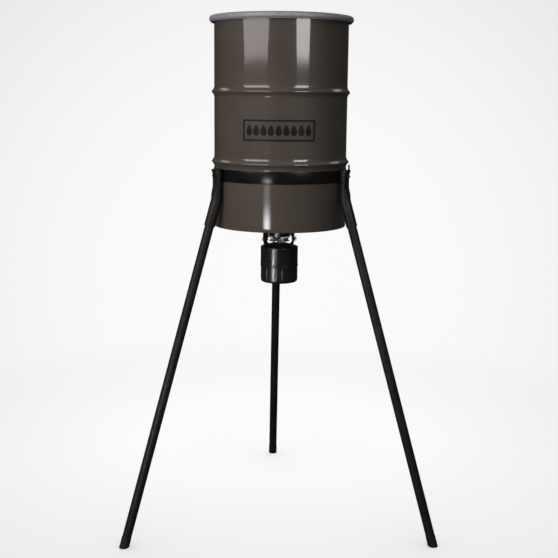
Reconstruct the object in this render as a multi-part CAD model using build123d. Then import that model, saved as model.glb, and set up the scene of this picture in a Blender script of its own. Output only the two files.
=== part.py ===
from build123d import *
import os
from math import cos, degrees, hypot, radians, sin, tan

# A tripod game feeder: an open-head steel drum on three plug-together legs, with a battery-driven
# spinner unit hung under it. Millimetres and degrees. Z = 0 is the ground. Every shape is made round
# the drum's axis (X = Y = 0), and the last step moves them all so that the feet's box is centred.
# The front of the feeder faces -Y, and the third leg stands at the back, on +Y.

# ---- drum ----
DRUM_R = 233.5
DRUM_WALL = 1.2
DRUM_BASE_Z = 1090.0
HEAD_SHEET = 1.6
HEAD_RECESS = 14.0
CHIME_FOLD_R = 0.5
HOOP_RISES = (227.5, 467.5)
HOOP_PROUD = 9.0
HOOP_HALF_HEIGHT = 20.5
HOOP_PEAK_R = 5.0
CURL_Z = 1802.0
CURL_R = 5.5
CURL_END_ANGLE = -100.0

# ---- lid and closing ring ----
LID_SHEET = 1.2
LID_PANEL_Z = 1800.0
LID_CHANNEL_Z = 1810.2
LID_PLUG_R = 231.4
LID_SKIRT_R = 245.8
LID_SKIRT_Z = 1799.0
GASKET_DEPTH = 2.4
RING_R = 250.0
RING_SHEET = 1.6
RING_TOP_Z = 1813.4
RING_BOTTOM_Z = 1793.4
RING_TOP_LIP_R = 238.0
RING_BOTTOM_LIP_R = 244.0
RING_GAP_ANGLE = 8.0
LEVER_PIN_ANGLE = 80.0
LEVER_PIN_RADIUS = 257.0
LEVER_PIN_R = 2.0
LEVER_EYE_R = 5.0
LEVER_END_ANGLE = 112.0
LEVER_LOW_Z = 1798.3
LEVER_HIGH_Z = 1807.7
LEVER_SHEET = 2.5

# ---- decal on the drum's front ----
LABEL_ARC_LENGTH = 251.0
LABEL_HEIGHT = 71.0
LABEL_ANGLE = 266.7
LABEL_RISE = 341.0
LABEL_THICKNESS = 0.4

# ---- tripod ----
LEG_ANGLES = {"left": 210.0, "right": 330.0, "rear": 90.0}
LEG_SLOPE = 17.03
LEG_R = 15.875
LEG_WALL = 1.5
BRACKET_R = 19.0
BRACKET_WALL = 1.8
BRACKET_RADIUS = 255.5
BRACKET_TOP_Z = 1296.0
BRACKET_BEND_Z = 1194.0
BRACKET_BEND_R = 60.0
BRACKET_END = 98.3
PRESS_DEPTH = 12.0
PRESS_Z = (1200.0, 1240.0, 1286.0, 1310.0)
TAB_R = (266.3, 268.8)
TAB_WIDTH = 11.0
TAB_TOP_Z = 1315.0
UPPER_LEG_START = 22.0
LEG_JOINT = 451.8
LEG_NECK = 60.0
LEG_NECK_R = 14.2
LEG_SHOULDER = 3.0
FOOT_START = 1212.0
FOOT_R = 16.9
FOOT_SOLE = 4.0

# ---- support band ----
BAND_RISE = 163.0
BAND_HEIGHT = 42.0
BAND_SHEET = 1.4
BAND_GAP = 0.1
BAND_LAP = 4.0
BOLT_R = 4.0
BOLT_HEAD_R = 7.5
BOLT_HEAD = 3.0
NUT_R = 7.5
NUT_HEIGHT = 6.5

# ---- feed funnel and hanger ----
SPOUT_R = 38.0
SPOUT_Z = 1045.0
FUNNEL_SHEET = 1.5
FUNNEL_SLOPE = 35.0
FUNNEL_TOP_R = 229.0
THROAT_Z = 1118.0
FLANGE_R = 75.0
FLANGE_SHEET = 3.0
SCREW_CIRCLE_R = 63.0
SCREW_R = 2.5
HANGER_YAW = 8.0
POST_ANGLES = {"left": 180 + HANGER_YAW, "right": HANGER_YAW}
POST_SCREW_R = 45.5
POST_WIDTH = 18.0
POST_INNER = 40.5
POST_TOP_Z = 1066.0
POST_HOLLOW_R = 15.6
POST_WAIST = {"left": 45.2, "right": 48.6}
POST_OUTER = {"left": 56.0, "right": 51.0}
EAR_GAP = 0.1
EAR_SHEET = 2.4
EAR_LOW_Z = 1028.0
HANGER_BOLT_Z = 1038.5
HANGER_HEAD = 3.5

# ---- spinner ----
SHAFT_R = 1.5
SHAFT_RUN = 0.05
HUB_Z = (1028.5, 1032.0, 1037.0)
HUB_R = (9.0, 6.0)
PLATE_R = 37.5
PLATE_SHEET = 1.2
VANE_TOP_Z = 1041.5
VANE_ANGLES = (25.0, 115.0, 205.0, 295.0)

# ---- housing, cap and what they hold ----
HOUSING_R = 67.0
HOUSING_WALL = 2.5
DOME_TOP_Z = 1026.0
SHOULDER_Z = 1013.0
HOUSING_LOW_Z = 949.0
SPIGOT_R = 63.9
SPIGOT_INNER_R = 61.2
SPIGOT_LOW_Z = 935.0
SEAL_Z = 942.0
CAP_R = 66.0
CAP_INNER_R = 64.3
CAP_LOW_Z = 884.0
CAP_TOP_Z = 948.0
CAP_LIP_R = 68.0
CAP_RIBS = 20
CAP_RIB_R = 2.4
CAP_RIB_PROUD = 1.2
DECK_Z = 995.0
DECK_SHEET = 3.0
DECK_R = 64.2
MOTOR_R = 12.2
MOTOR_TOP_Z = 1020.0
BATTERY = (70.0, 47.0, 101.0)
BATTERY_LOW_Z = 888.0
WALL_SHEET = 2.5
FACE_WIDTH = 80.0
FACE_DEPTH = 36.0
FACE_Z = (891.0, 943.0)
FACE_SHEET = 1.5
BUTTON_XS = {"down": -20.0, "set": 0.0, "up": 20.0}
BUTTON_Z = 904.0
BUTTON_R = 4.2
LCD_SIZE = (44.0, 18.0)
LCD_Z = 927.0

UP = (Align.CENTER, Align.CENTER, Align.MIN)
band_z = DRUM_BASE_Z + BAND_RISE + BAND_HEIGHT / 2
head_z = DRUM_BASE_Z + HEAD_RECESS
drum_inner_r = DRUM_R - DRUM_WALL
parts = {}


def disc(radius, low, high):
    """A solid cylinder on the Z axis between two heights."""
    return Pos(0, 0, low) * Cylinder(radius, high - low, align=UP)


def ring(inner, outer, low, high):
    """A flat ring on the Z axis."""
    return disc(outer, low, high) - disc(inner, low - 1, high + 1)


def block(low, high):
    """A box from its lowest to its highest corner."""
    size = [b - a for a, b in zip(low, high)]
    return Pos(*low) * Box(*size, align=(Align.MIN, Align.MIN, Align.MIN))


def radial_rod(radius, start, end, angle, height):
    """A round rod that lies along a radius of the drum."""
    rod = Pos(start, 0, height) * Rot(0, 90, 0) * Cylinder(radius, end - start, align=UP)
    return Rot(0, 0, angle) * rod


def turned(outline):
    """Revolves a closed (radius, height) outline about the Z axis."""
    return revolve(Plane.XZ * make_face(outline), Axis.Z)


def sheet(points, radii, thickness, side):
    """Revolves a bent sheet: its path as (radius, height) corners with bend radii."""
    path = FilletPolyline(*points, radius=radii)
    return turned(offset(path, amount=thickness, side=side))


def sector(inner, outer, low, high, start, end):
    """Part of a ring between two angles."""
    profile = Plane.XZ * Pos((inner + outer) / 2, (low + high) / 2) * Rectangle(outer - inner, high - low)
    return Rot(0, 0, start) * revolve(profile, Axis.Z, end - start)


def hexagon(radius, low, high):
    return Pos(0, 0, low) * extrude(RegularPolygon(radius, 6), high - low)


# ---------------------------------------------------------------- drum

def hoop_edges(centre_z):
    """A rolling hoop: two hollow arcs that meet a round peak, all tangent to each other."""
    radius_sum = (HOOP_PROUD ** 2 + HOOP_HALF_HEIGHT ** 2) / (2 * HOOP_PROUD)
    share = HOOP_PEAK_R / radius_sum
    peak_centre = DRUM_R + HOOP_PROUD - HOOP_PEAK_R
    hollow_centre = DRUM_R + radius_sum - HOOP_PEAK_R
    meet_r = peak_centre + (hollow_centre - peak_centre) * share
    meet_z = HOOP_HALF_HEIGHT * share
    low, high = centre_z - HOOP_HALF_HEIGHT, centre_z + HOOP_HALF_HEIGHT
    rise = TangentArc((DRUM_R, low), (meet_r, centre_z - meet_z), tangent=(0, 1))
    peak = ThreePointArc(rise @ 1, (DRUM_R + HOOP_PROUD, centre_z), (meet_r, centre_z + meet_z))
    fall = TangentArc(peak @ 1, (DRUM_R, high), tangent=peak % 1)
    return [rise, peak, fall]


def drum_shell():
    curl_centre = drum_inner_r + CURL_R
    curl_r = CURL_R - DRUM_WALL
    edges = []
    below = (DRUM_R, DRUM_BASE_Z + HEAD_SHEET + CHIME_FOLD_R)
    for rise in HOOP_RISES:
        hoop = hoop_edges(DRUM_BASE_Z + rise)
        edges += [Line(below, hoop[0] @ 0)] + hoop
        below = hoop[-1] @ 1
    edges.append(Line(below, (DRUM_R, CURL_Z)))
    edges.append(CenterArc((curl_centre, CURL_Z), curl_r, 180, CURL_END_ANGLE - 180))
    shell = turned(offset(Wire(edges), amount=DRUM_WALL, side=Side.LEFT))
    for angle in LEG_ANGLES.values():
        shell -= radial_rod(BOLT_R, DRUM_R - 10, DRUM_R + 10, angle, band_z)
    return shell


def drum_bottom_head():
    """Recessed disc whose rim folds round the shell's lower edge as the chime."""
    inner = drum_inner_r - HEAD_SHEET
    outer = DRUM_R + HEAD_SHEET
    path = [(SPOUT_R + 0.6, head_z), (inner, head_z), (inner, DRUM_BASE_Z), (outer, DRUM_BASE_Z),
            (outer, head_z - 1)]
    fold = CHIME_FOLD_R + HEAD_SHEET
    head = sheet(path, [8.0, fold, fold], HEAD_SHEET, Side.LEFT)
    return head - flange_screw_holes()


def flange_screw_holes():
    holes = [Rot(0, 0, a) * Pos(SCREW_CIRCLE_R, 0, 0) * disc(SCREW_R, DRUM_BASE_Z, head_z + 30)
             for a in screw_angles()]
    return Compound(holes)


def screw_angles():
    return [HANGER_YAW + 45 + 90 * k for k in range(4)]


def feed_funnel():
    """Cone that lines the drum's floor, with a foot ring on the head and the outlet spout."""
    rim_z = THROAT_Z + (FUNNEL_TOP_R - SPOUT_R) * tan(radians(FUNNEL_SLOPE))
    path = [(FUNNEL_TOP_R, rim_z + 12), (FUNNEL_TOP_R, rim_z), (SPOUT_R, THROAT_Z), (SPOUT_R, SPOUT_Z)]
    cone = sheet(path, [4.0, 6.0], FUNNEL_SHEET, Side.RIGHT)
    foot_z = head_z + HEAD_SHEET
    foot = ring(SPOUT_R - 0.5, FLANGE_R, foot_z, foot_z + FUNNEL_SHEET)
    bead = ring(SPOUT_R - 0.5, SPOUT_R + 1.5, SPOUT_Z, SPOUT_Z + 3.5)
    return cone + foot - flange_screw_holes() + fillet(bead.edges().filter_by(GeomType.CIRCLE).group_by(
        lambda e: e.radius)[-1], 1.2)


def drum_label():
    half = degrees(LABEL_ARC_LENGTH / DRUM_R) / 2
    middle = DRUM_BASE_Z + LABEL_RISE
    return sector(DRUM_R, DRUM_R + LABEL_THICKNESS, middle - LABEL_HEIGHT / 2, middle + LABEL_HEIGHT / 2,
                  LABEL_ANGLE - half, LABEL_ANGLE + half)


# ---------------------------------------------------------------- lid and closing ring

def lid():
    """Pressed lid: sunk panel, a channel over the drum's curl and an outer skirt."""
    path = [(0, LID_PANEL_Z), (LID_PLUG_R, LID_PANEL_Z), (LID_PLUG_R, LID_CHANNEL_Z),
            (LID_SKIRT_R - LID_SHEET, LID_CHANNEL_Z), (LID_SKIRT_R - LID_SHEET, LID_SKIRT_Z)]
    return sheet(path, [3.0, 1.0, 1.0], LID_SHEET, Side.LEFT)


def lid_gasket():
    return ring(LID_PLUG_R + 1.5, LID_SKIRT_R - LID_SHEET - 1.5, LID_CHANNEL_Z - GASKET_DEPTH, LID_CHANNEL_Z)


def locking_ring():
    """Rolled channel that clamps the lid to the curl, split at the back."""
    path = FilletPolyline((RING_TOP_LIP_R, RING_TOP_Z), (RING_R, RING_TOP_Z), (RING_R, RING_BOTTOM_Z),
                          (RING_BOTTOM_LIP_R, RING_BOTTOM_Z), radius=[7.0, 4.5])
    profile = Plane.XZ * make_face(offset(path, amount=RING_SHEET, side=Side.RIGHT))
    return Rot(0, 0, 90 + RING_GAP_ANGLE / 2) * revolve(profile, Axis.Z, 360 - RING_GAP_ANGLE)


def lever_pin_place():
    return Rot(0, 0, LEVER_PIN_ANGLE) * Pos(LEVER_PIN_RADIUS, 0, 0)


def ring_end_brackets():
    """Two ears for the lever's pin on one ring end, and the hook plate on the other."""
    ears = []
    for low in (LEVER_LOW_Z - 2.3, LEVER_HIGH_Z + 0.3):
        ear = sector(RING_R, LEVER_PIN_RADIUS + LEVER_EYE_R, low, low + 2, LEVER_PIN_ANGLE - 1.6,
                     LEVER_PIN_ANGLE + 1.6)
        ears.append(ear)
    base = sector(RING_R, RING_R + 1.5, LEVER_LOW_Z - 2.3, LEVER_HIGH_Z + 2.3, LEVER_PIN_ANGLE - 1.6,
                  LEVER_PIN_ANGLE + 5)
    clevis = ears[0] + ears[1] + base - lever_pin_place() * disc(LEVER_PIN_R, RING_BOTTOM_Z, RING_TOP_Z + 5)
    hook = sector(RING_R, RING_R + 4.5, LEVER_LOW_Z + 1, LEVER_HIGH_Z - 1, 95, 101)
    return Compound([clevis, hook])


def ring_lever():
    """Curved handle that lies along the ring, with an eye for its pin."""
    eye = lever_pin_place() * disc(LEVER_EYE_R, LEVER_LOW_Z, LEVER_HIGH_Z)
    middle = LEVER_PIN_RADIUS
    arm = sector(middle - LEVER_SHEET / 2, middle + LEVER_SHEET / 2, LEVER_LOW_Z, LEVER_HIGH_Z,
                 LEVER_PIN_ANGLE, LEVER_END_ANGLE)
    tip = sector(middle - LEVER_SHEET / 2, middle + 4, LEVER_LOW_Z, LEVER_HIGH_Z,
                 LEVER_END_ANGLE - 0.8, LEVER_END_ANGLE)
    hole = lever_pin_place() * disc(LEVER_PIN_R + SHAFT_RUN, LEVER_LOW_Z - 1, LEVER_HIGH_Z + 1)
    return eye + arm + tip - hole


def lever_pin():
    head = lever_pin_place() * disc(LEVER_PIN_R + 1.2, LEVER_HIGH_Z + 2.3, LEVER_HIGH_Z + 3.5)
    return head + lever_pin_place() * disc(LEVER_PIN_R, LEVER_LOW_Z - 3.3, LEVER_HIGH_Z + 2.3)


# ---------------------------------------------------------------- tripod

slope = radians(LEG_SLOPE)
bend_point = (BRACKET_RADIUS, 0, BRACKET_BEND_Z)
leg_direction = (sin(slope), 0, -cos(slope))
leg_plane = Plane(origin=bend_point, x_dir=(0, 1, 0), z_dir=leg_direction)
nut_seat = BRACKET_RADIUS + BRACKET_R - PRESS_DEPTH


def along_leg(distance):
    """A point on the leg's centre line, measured down from the bracket's bend."""
    return (bend_point[0] + distance * leg_direction[0], 0, bend_point[2] + distance * leg_direction[2])


def leg_bracket(angle):
    """Bent socket tube, pressed in round its bolt, that carries one leg. The right one has a hook tab."""
    top = (BRACKET_RADIUS, 0, BRACKET_TOP_Z)
    path = FilletPolyline(top, bend_point, along_leg(BRACKET_END), radius=BRACKET_BEND_R)
    section = Plane(origin=top, z_dir=(0, 0, -1))
    outer = sweep(section * Circle(BRACKET_R), path=path)
    bore = sweep(section * Circle(BRACKET_R - BRACKET_WALL), path=path)
    bore -= bracket_press(nut_seat - BRACKET_WALL)
    tube = outer - bracket_press(nut_seat) - bore
    tube -= radial_rod(BOLT_R, DRUM_R, nut_seat + 5, 0, band_z)
    if angle == LEG_ANGLES["right"]:
        tube += block((TAB_R[0], -TAB_WIDTH / 2, BRACKET_TOP_Z - 5), (TAB_R[1], TAB_WIDTH / 2, TAB_TOP_Z))
    return Rot(0, 0, angle) * tube


def on_leg(shape, angle):
    """Carries a shape made along Z, from zero at the bracket's bend, on to one leg."""
    return Rot(0, 0, angle) * (leg_plane * shape)


def bracket_press(seat):
    """The tool that flattens the socket's outer side: a flat seat with a ramp at each end."""
    open_r = BRACKET_RADIUS + BRACKET_R + 0.5
    low, seat_low, seat_high, high = PRESS_Z
    outline = Polyline((open_r, low), (seat, seat_low), (seat, seat_high), (open_r, high),
                       (open_r + 60, high), (open_r + 60, low), close=True)
    return extrude(Plane.XZ * make_face(outline), 40, both=True)


def upper_leg(angle):
    length = LEG_JOINT - UPPER_LEG_START
    tube = Cylinder(LEG_R, length, align=UP) - Cylinder(LEG_R - LEG_WALL, length, align=UP)
    return on_leg(Pos(0, 0, UPPER_LEG_START) * tube, angle)


def lower_leg_end():
    """Distance down the leg at which the tube's lowest corner is a sole's thickness off the ground."""
    return (BRACKET_BEND_Z - FOOT_SOLE - LEG_R * sin(slope)) / cos(slope)


def lower_leg(angle):
    """Tube with a reduced neck that plugs into the upper leg."""
    neck_start = LEG_JOINT - LEG_NECK
    end = lower_leg_end()
    tube = disc(LEG_R, LEG_JOINT, end) + disc(LEG_NECK_R, neck_start, LEG_JOINT)
    tube -= disc(LEG_NECK_R - LEG_WALL, neck_start - 1, LEG_JOINT + LEG_SHOULDER + 1)
    tube -= disc(LEG_R - LEG_WALL, LEG_JOINT + LEG_SHOULDER, end + 1)
    return on_leg(tube, angle)


def foot_cap(angle):
    """Rubber cup on the tube's end, with a sole that is level with the ground."""
    cup = disc(FOOT_R, FOOT_START, lower_leg_end() + 30)
    cup = fillet(cup.edges().sort_by(Axis.Z)[0], 0.6)
    cup -= disc(LEG_R, FOOT_START - 1, lower_leg_end())
    reach = BRACKET_RADIUS + BRACKET_BEND_Z * tan(slope)
    ground = block((reach - 100, -100, -100), (reach + 100, 100, 0))
    return Rot(0, 0, angle) * (leg_plane * cup - ground)


def support_band(angle):
    """Strap from one bracket to the next: a plain end below, and a joggled end that laps the next strap."""
    low, high = band_z - BAND_HEIGHT / 2, band_z + BAND_HEIGHT / 2
    inner = DRUM_R + BAND_GAP
    outer = inner + BAND_SHEET
    plain = sector(inner, outer, low, high, angle - BAND_LAP, angle + 120 - BAND_LAP - 1)
    joggle = sector(outer, outer + BAND_SHEET, low, high, angle + 120 - BAND_LAP - 2, angle + 120 + BAND_LAP)
    strap = plain + joggle
    for end in (angle, angle + 120):
        strap -= radial_rod(BOLT_R, DRUM_R - 5, DRUM_R + 15, end, band_z)
    return strap


def bracket_bolt(angle):
    head_start = drum_inner_r - BOLT_HEAD
    bolt = radial_rod(BOLT_R, head_start, nut_seat + NUT_HEIGHT + 3, angle, band_z)
    return bolt + radial_rod(BOLT_HEAD_R, head_start, drum_inner_r - 0.15, angle, band_z)


def bracket_nut(angle):
    nut = hexagon(NUT_R, 0, NUT_HEIGHT) - disc(BOLT_R, -1, NUT_HEIGHT + 1)
    return Rot(0, 0, angle) * Pos(nut_seat, 0, band_z) * Rot(0, 90, 0) * nut


# ---------------------------------------------------------------- hanger

def hanger_flange():
    """Ring plate under the drum's head, with two ears that reach down to the housing's posts."""
    plate = ring(SPOUT_R + 0.6, FLANGE_R, head_z - FLANGE_SHEET, head_z) - flange_screw_holes()
    for side, angle in POST_ANGLES.items():
        inner = POST_OUTER[side] + EAR_GAP
        ear = block((inner, -POST_WIDTH / 2, EAR_LOW_Z), (inner + EAR_SHEET, POST_WIDTH / 2, head_z - 1))
        plate += Rot(0, 0, angle) * ear
        plate -= radial_rod(SCREW_R, inner - 1, inner + EAR_SHEET + 1, angle, HANGER_BOLT_Z)
    return plate


def ear_outer(side):
    return POST_OUTER[side] + EAR_GAP + EAR_SHEET


def flange_screws():
    low = head_z - FLANGE_SHEET
    screw = disc(4.5, low - 3, low) + disc(SCREW_R, low, head_z + 10)
    return Compound([Rot(0, 0, a) * Pos(SCREW_CIRCLE_R, 0, 0) * screw for a in screw_angles()])


def flange_nuts():
    low = head_z + HEAD_SHEET + FUNNEL_SHEET
    nut = hexagon(4.6, low, low + 4) - disc(SCREW_R, low - 1, low + 5)
    return Compound([Rot(0, 0, a) * Pos(SCREW_CIRCLE_R, 0, 0) * nut for a in screw_angles()])


def hanger_post(side):
    """Post on the housing's dome, hollowed on its inner side, with a flat spot round its bolt."""
    post = block((POST_INNER, -POST_WIDTH / 2, SHOULDER_Z - 10), (POST_OUTER[side], POST_WIDTH / 2, POST_TOP_Z))
    hollow = Rot(90, 0, 0) * Cylinder(POST_HOLLOW_R, POST_WIDTH + 2)
    post -= Pos(POST_WAIST[side] - POST_HOLLOW_R, 0, HANGER_BOLT_Z - 2.5) * hollow
    post -= radial_rod(6.0, POST_INNER - 3, POST_WAIST[side] + 0.1, 0, HANGER_BOLT_Z)
    post -= radial_rod(SCREW_R, POST_INNER, POST_OUTER[side] + 1, 0, HANGER_BOLT_Z)
    post -= Pos(POST_SCREW_R, 0, 0) * disc(1.5, SHOULDER_Z - 11, 1022)
    return Rot(0, 0, POST_ANGLES[side]) * post - housing_outside()


def post_screws():
    """Screws that hold the posts, driven up from inside the dome."""
    place = Pos(POST_SCREW_R, 0, 0)
    screw = place * disc(1.5, 1013.6, 1021) + place * disc(2.8, 1011, 1013.6)
    return Compound([Rot(0, 0, a) * screw for a in POST_ANGLES.values()])


def hanger_bolts():
    """The left bolt is driven in from outside, and the right one from inside."""
    seat, end = ear_outer("left"), POST_WAIST["left"] - 4.0
    left = radial_rod(SCREW_R, end, seat, POST_ANGLES["left"], HANGER_BOLT_Z)
    left += radial_rod(5.5, seat, seat + HANGER_HEAD, POST_ANGLES["left"], HANGER_BOLT_Z)
    seat, end = POST_WAIST["right"] + 0.1, ear_outer("right") + 10
    right = radial_rod(SCREW_R, seat, end, POST_ANGLES["right"], HANGER_BOLT_Z)
    right += radial_rod(5.5, seat - HANGER_HEAD, seat, POST_ANGLES["right"], HANGER_BOLT_Z)
    return Compound([left, right])


def hanger_nuts():
    """A plain nut inside the left post, and a wing nut outside the right ear."""
    low = POST_WAIST["left"] - 3.5
    plain = hexagon(4.6, 0, 3.6) - disc(SCREW_R, -1, 5)
    plain = Rot(0, 0, POST_ANGLES["left"]) * Pos(low, 0, HANGER_BOLT_Z) * Rot(0, 90, 0) * plain
    seat = ear_outer("right")
    wing_nut = radial_rod(4.8, seat, seat + 5, 0, HANGER_BOLT_Z)
    for side in (-1, 1):
        wing = Pos(seat + 2, 0, HANGER_BOLT_Z + side * 2.5) * Rot(0, 25 * side, 0) * Box(
            1.8, 9, 9, align=(Align.MIN, Align.CENTER, Align.MIN if side > 0 else Align.MAX))
        wing_nut += wing
    wing_nut -= radial_rod(SCREW_R, seat - 1, seat + 14, 0, HANGER_BOLT_Z)
    return Compound([plain, Rot(0, 0, POST_ANGLES["right"]) * wing_nut])


# ---------------------------------------------------------------- spinner

def spinner_plate():
    plate = ring(HUB_R[1], PLATE_R, HUB_Z[1], HUB_Z[1] + PLATE_SHEET)
    for angle in VANE_ANGLES:
        vane = block((14, -PLATE_SHEET / 2, HUB_Z[1] + PLATE_SHEET / 2), (PLATE_R - 0.4, PLATE_SHEET / 2, VANE_TOP_Z))
        plate += Rot(0, 0, angle) * vane
    return plate


def spinner_hub():
    hub = disc(HUB_R[0], HUB_Z[0], HUB_Z[1]) + disc(HUB_R[1], HUB_Z[1], HUB_Z[2])
    hub -= disc(SHAFT_R, HUB_Z[0] - 1, HUB_Z[2] - 1.5)
    return hub - radial_rod(1.25, 0, HUB_R[0] + 1, 0, hub_screw_z())


def hub_screw_z():
    return (HUB_Z[0] + HUB_Z[1]) / 2


def hub_set_screw():
    return radial_rod(1.25, SHAFT_R + 0.02, HUB_R[0], 0, hub_screw_z())


def motor_shaft():
    return disc(SHAFT_R, MOTOR_TOP_Z - 18, HUB_Z[2] - 1.5)


# ---------------------------------------------------------------- housing

def dome_outline():
    return [(HOUSING_R, HOUSING_LOW_Z), (HOUSING_R, SHOULDER_Z), (22, DOME_TOP_Z), (5, DOME_TOP_Z)]


def housing_outside():
    """The solid inside the housing's outer surface, to trim what stands on it."""
    path = FilletPolyline(*dome_outline(), radius=[4.0, 30.0])
    edges = [path, Line(path @ 1, (0, DOME_TOP_Z)), Line((0, DOME_TOP_Z), (0, HOUSING_LOW_Z)),
             Line((0, HOUSING_LOW_Z), path @ 0)]
    return turned(edges)


def boss_angles():
    return (30, 150, 270)


def housing_shell():
    """Domed cover with a spigot for the cap, bosses for the chassis and a pad for the motor."""
    shell = sheet(dome_outline(), [4.0, 30.0], HOUSING_WALL, Side.LEFT)
    inner = HOUSING_R - HOUSING_WALL
    shell += ring(SPIGOT_INNER_R, SPIGOT_R, SPIGOT_LOW_Z, HOUSING_LOW_Z + 6)
    shell += ring(SPIGOT_R - 0.5, inner + 0.5, HOUSING_LOW_Z, HOUSING_LOW_Z + 6)
    shell -= ring(SPIGOT_R - 1.2, SPIGOT_R + 0.05, SEAL_Z - 1.5, SEAL_Z + 1.5)
    shell += ring(5, 13, MOTOR_TOP_Z, DOME_TOP_Z - 1)
    for angle in boss_angles():
        shell += Rot(0, 0, angle) * Pos(56, 0, 0) * disc(4, DECK_Z + DECK_SHEET, SHOULDER_Z + 1)
        shell -= Rot(0, 0, angle) * Pos(56, 0, 0) * disc(1.5, DECK_Z, DECK_Z + 12)
    for angle in POST_ANGLES.values():
        shell -= Rot(0, 0, angle) * Pos(POST_SCREW_R, 0, 0) * disc(1.5, SHOULDER_Z - 10, DOME_TOP_Z)
    for angle in motor_screw_angles():
        shell -= Rot(0, 0, angle) * Pos(8.5, 0, 0) * disc(1.25, MOTOR_TOP_Z - 1, DOME_TOP_Z + 1)
    return shell


def housing_seal():
    return ring(SPIGOT_R - 1.2, SPIGOT_R + 0.2, SEAL_Z - 1.5, SEAL_Z + 1.5)


def housing_cap():
    """Ribbed base cup with a gripping lip, whose wall slides over the housing's spigot."""
    cup = disc(CAP_R, CAP_LOW_Z, CAP_TOP_Z)
    cup = fillet(cup.edges().sort_by(Axis.Z)[0], 8.0)
    bore = disc(CAP_INNER_R, CAP_LOW_Z + 2.5, CAP_TOP_Z + 1)
    bore = fillet(bore.edges().sort_by(Axis.Z)[0], 6.0)
    cup += ring(CAP_R - 1, CAP_LIP_R, CAP_TOP_Z - 6, CAP_TOP_Z)
    for k in range(CAP_RIBS):
        place = Pos(CAP_R + CAP_RIB_PROUD - CAP_RIB_R, 0, CAP_LOW_Z + 9)
        rib = place * Cylinder(CAP_RIB_R, CAP_TOP_Z - CAP_LOW_Z - 16, align=UP)
        cup += Rot(0, 0, 360 / CAP_RIBS * (k + 0.5)) * rib
    return cup - bore


def motor_screw_angles():
    return (HANGER_YAW + 90, HANGER_YAW - 90)


def motor_can():
    can = disc(MOTOR_R, DECK_Z + DECK_SHEET, MOTOR_TOP_Z) + disc(4.9, MOTOR_TOP_Z, MOTOR_TOP_Z + 2)
    can -= disc(SHAFT_R + SHAFT_RUN, MOTOR_TOP_Z - 19, MOTOR_TOP_Z + 3)
    for angle in motor_screw_angles():
        can -= Rot(0, 0, angle) * Pos(8.5, 0, 0) * disc(1.25, MOTOR_TOP_Z - 5, MOTOR_TOP_Z + 1)
    return can


def motor_screws():
    screw = disc(1.25, MOTOR_TOP_Z - 4.5, DOME_TOP_Z) + disc(2.4, DOME_TOP_Z, DOME_TOP_Z + 1.6)
    return Compound([Rot(0, 0, a) * Pos(8.5, 0, 0) * screw for a in motor_screw_angles()])


def battery_box():
    """Lowest and highest corner of the battery, which stands behind the chassis wall."""
    width, depth, height = BATTERY
    low = (-width / 2, WALL_SHEET, BATTERY_LOW_Z)
    high = (width / 2, WALL_SHEET + depth, BATTERY_LOW_Z + height)
    return low, high


def chassis():
    """Motor deck with a hanging wall between the battery and the timer."""
    deck = disc(DECK_R, DECK_Z, DECK_Z + DECK_SHEET)
    wall = block((-46, 0, FACE_Z[0]), (46, WALL_SHEET, DECK_Z + 1))
    frame = deck + wall
    for angle in boss_angles():
        frame -= Rot(0, 0, angle) * Pos(56, 0, 0) * disc(1.5, DECK_Z - 1, DECK_Z + DECK_SHEET + 1)
    for x, z in face_screw_places():
        frame -= Pos(x, -5, z) * Rot(-90, 0, 0) * Cylinder(1.3, 10, align=UP)
    for side in (-1, 1):
        frame -= Pos(side * 20, -18, DECK_Z - 1) * Cylinder(2.0, 10, align=UP)
        frame -= Pos(side * 28, -5, battery_lead_z()) * Rot(-90, 0, 0) * Cylinder(2.0, 10, align=UP)
    return frame


def chassis_screws():
    screw = disc(3, DECK_Z - 2.5, DECK_Z) + disc(1.5, DECK_Z, DECK_Z + 11)
    return Compound([Rot(0, 0, a) * Pos(56, 0, 0) * screw for a in boss_angles()])


def battery():
    body = block(*battery_box())
    return fillet(body.edges().filter_by(Axis.Z), 2.0)


def battery_terminals():
    top = BATTERY_LOW_Z + BATTERY[2]
    return Compound([block((x - 2.4, 14, top), (x + 2.4, 18, top + 5)) for x in (-28, 28)])


def battery_strap():
    """Webbing strap round the battery, anchored to the chassis wall."""
    low, high = battery_box()
    band = block((low[0] - 1.2, low[1], 965), (high[0] + 1.2, high[1] + 1.2, 980))
    return band - block((low[0], low[1] - 1, 960), (high[0], high[1], 985))


def battery_lead_z():
    return DECK_Z - 3.5


def lead(points, radii):
    """A wire of one millimetre radius along straight runs joined by arcs."""
    path = FilletPolyline(*points, radius=radii)
    return sweep(Plane(origin=path @ 0, z_dir=path % 0) * Circle(0.9), path=path)


def motor_leads():
    board_back = -24.4
    reach = hypot(20, 18)
    near = (MOTOR_R + 0.05) / reach
    wires = []
    for side in (-1, 1):
        x = 20 * side
        route = [(x, board_back, 922), (x, -18, 922), (x, -18, 1006), (x * near, -18 * near, 1006)]
        wires.append(lead(route, [4.0, 4.0]))
    return Compound(wires)


def battery_leads():
    board_back = -24.4
    z = battery_lead_z()
    wires = []
    for side in (-1, 1):
        x = 28 * side
        route = [(x, 14, z), (x, -13, z), (x, -13, 928), (x, board_back, 928)]
        wires.append(lead(route, [5.0, 5.0]))
    return Compound(wires)


def face_screw_places():
    return [(x, z) for x in (-36.5, 36.5) for z in (FACE_Z[0] + 3.5, FACE_Z[1] - 3.5)]


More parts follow.
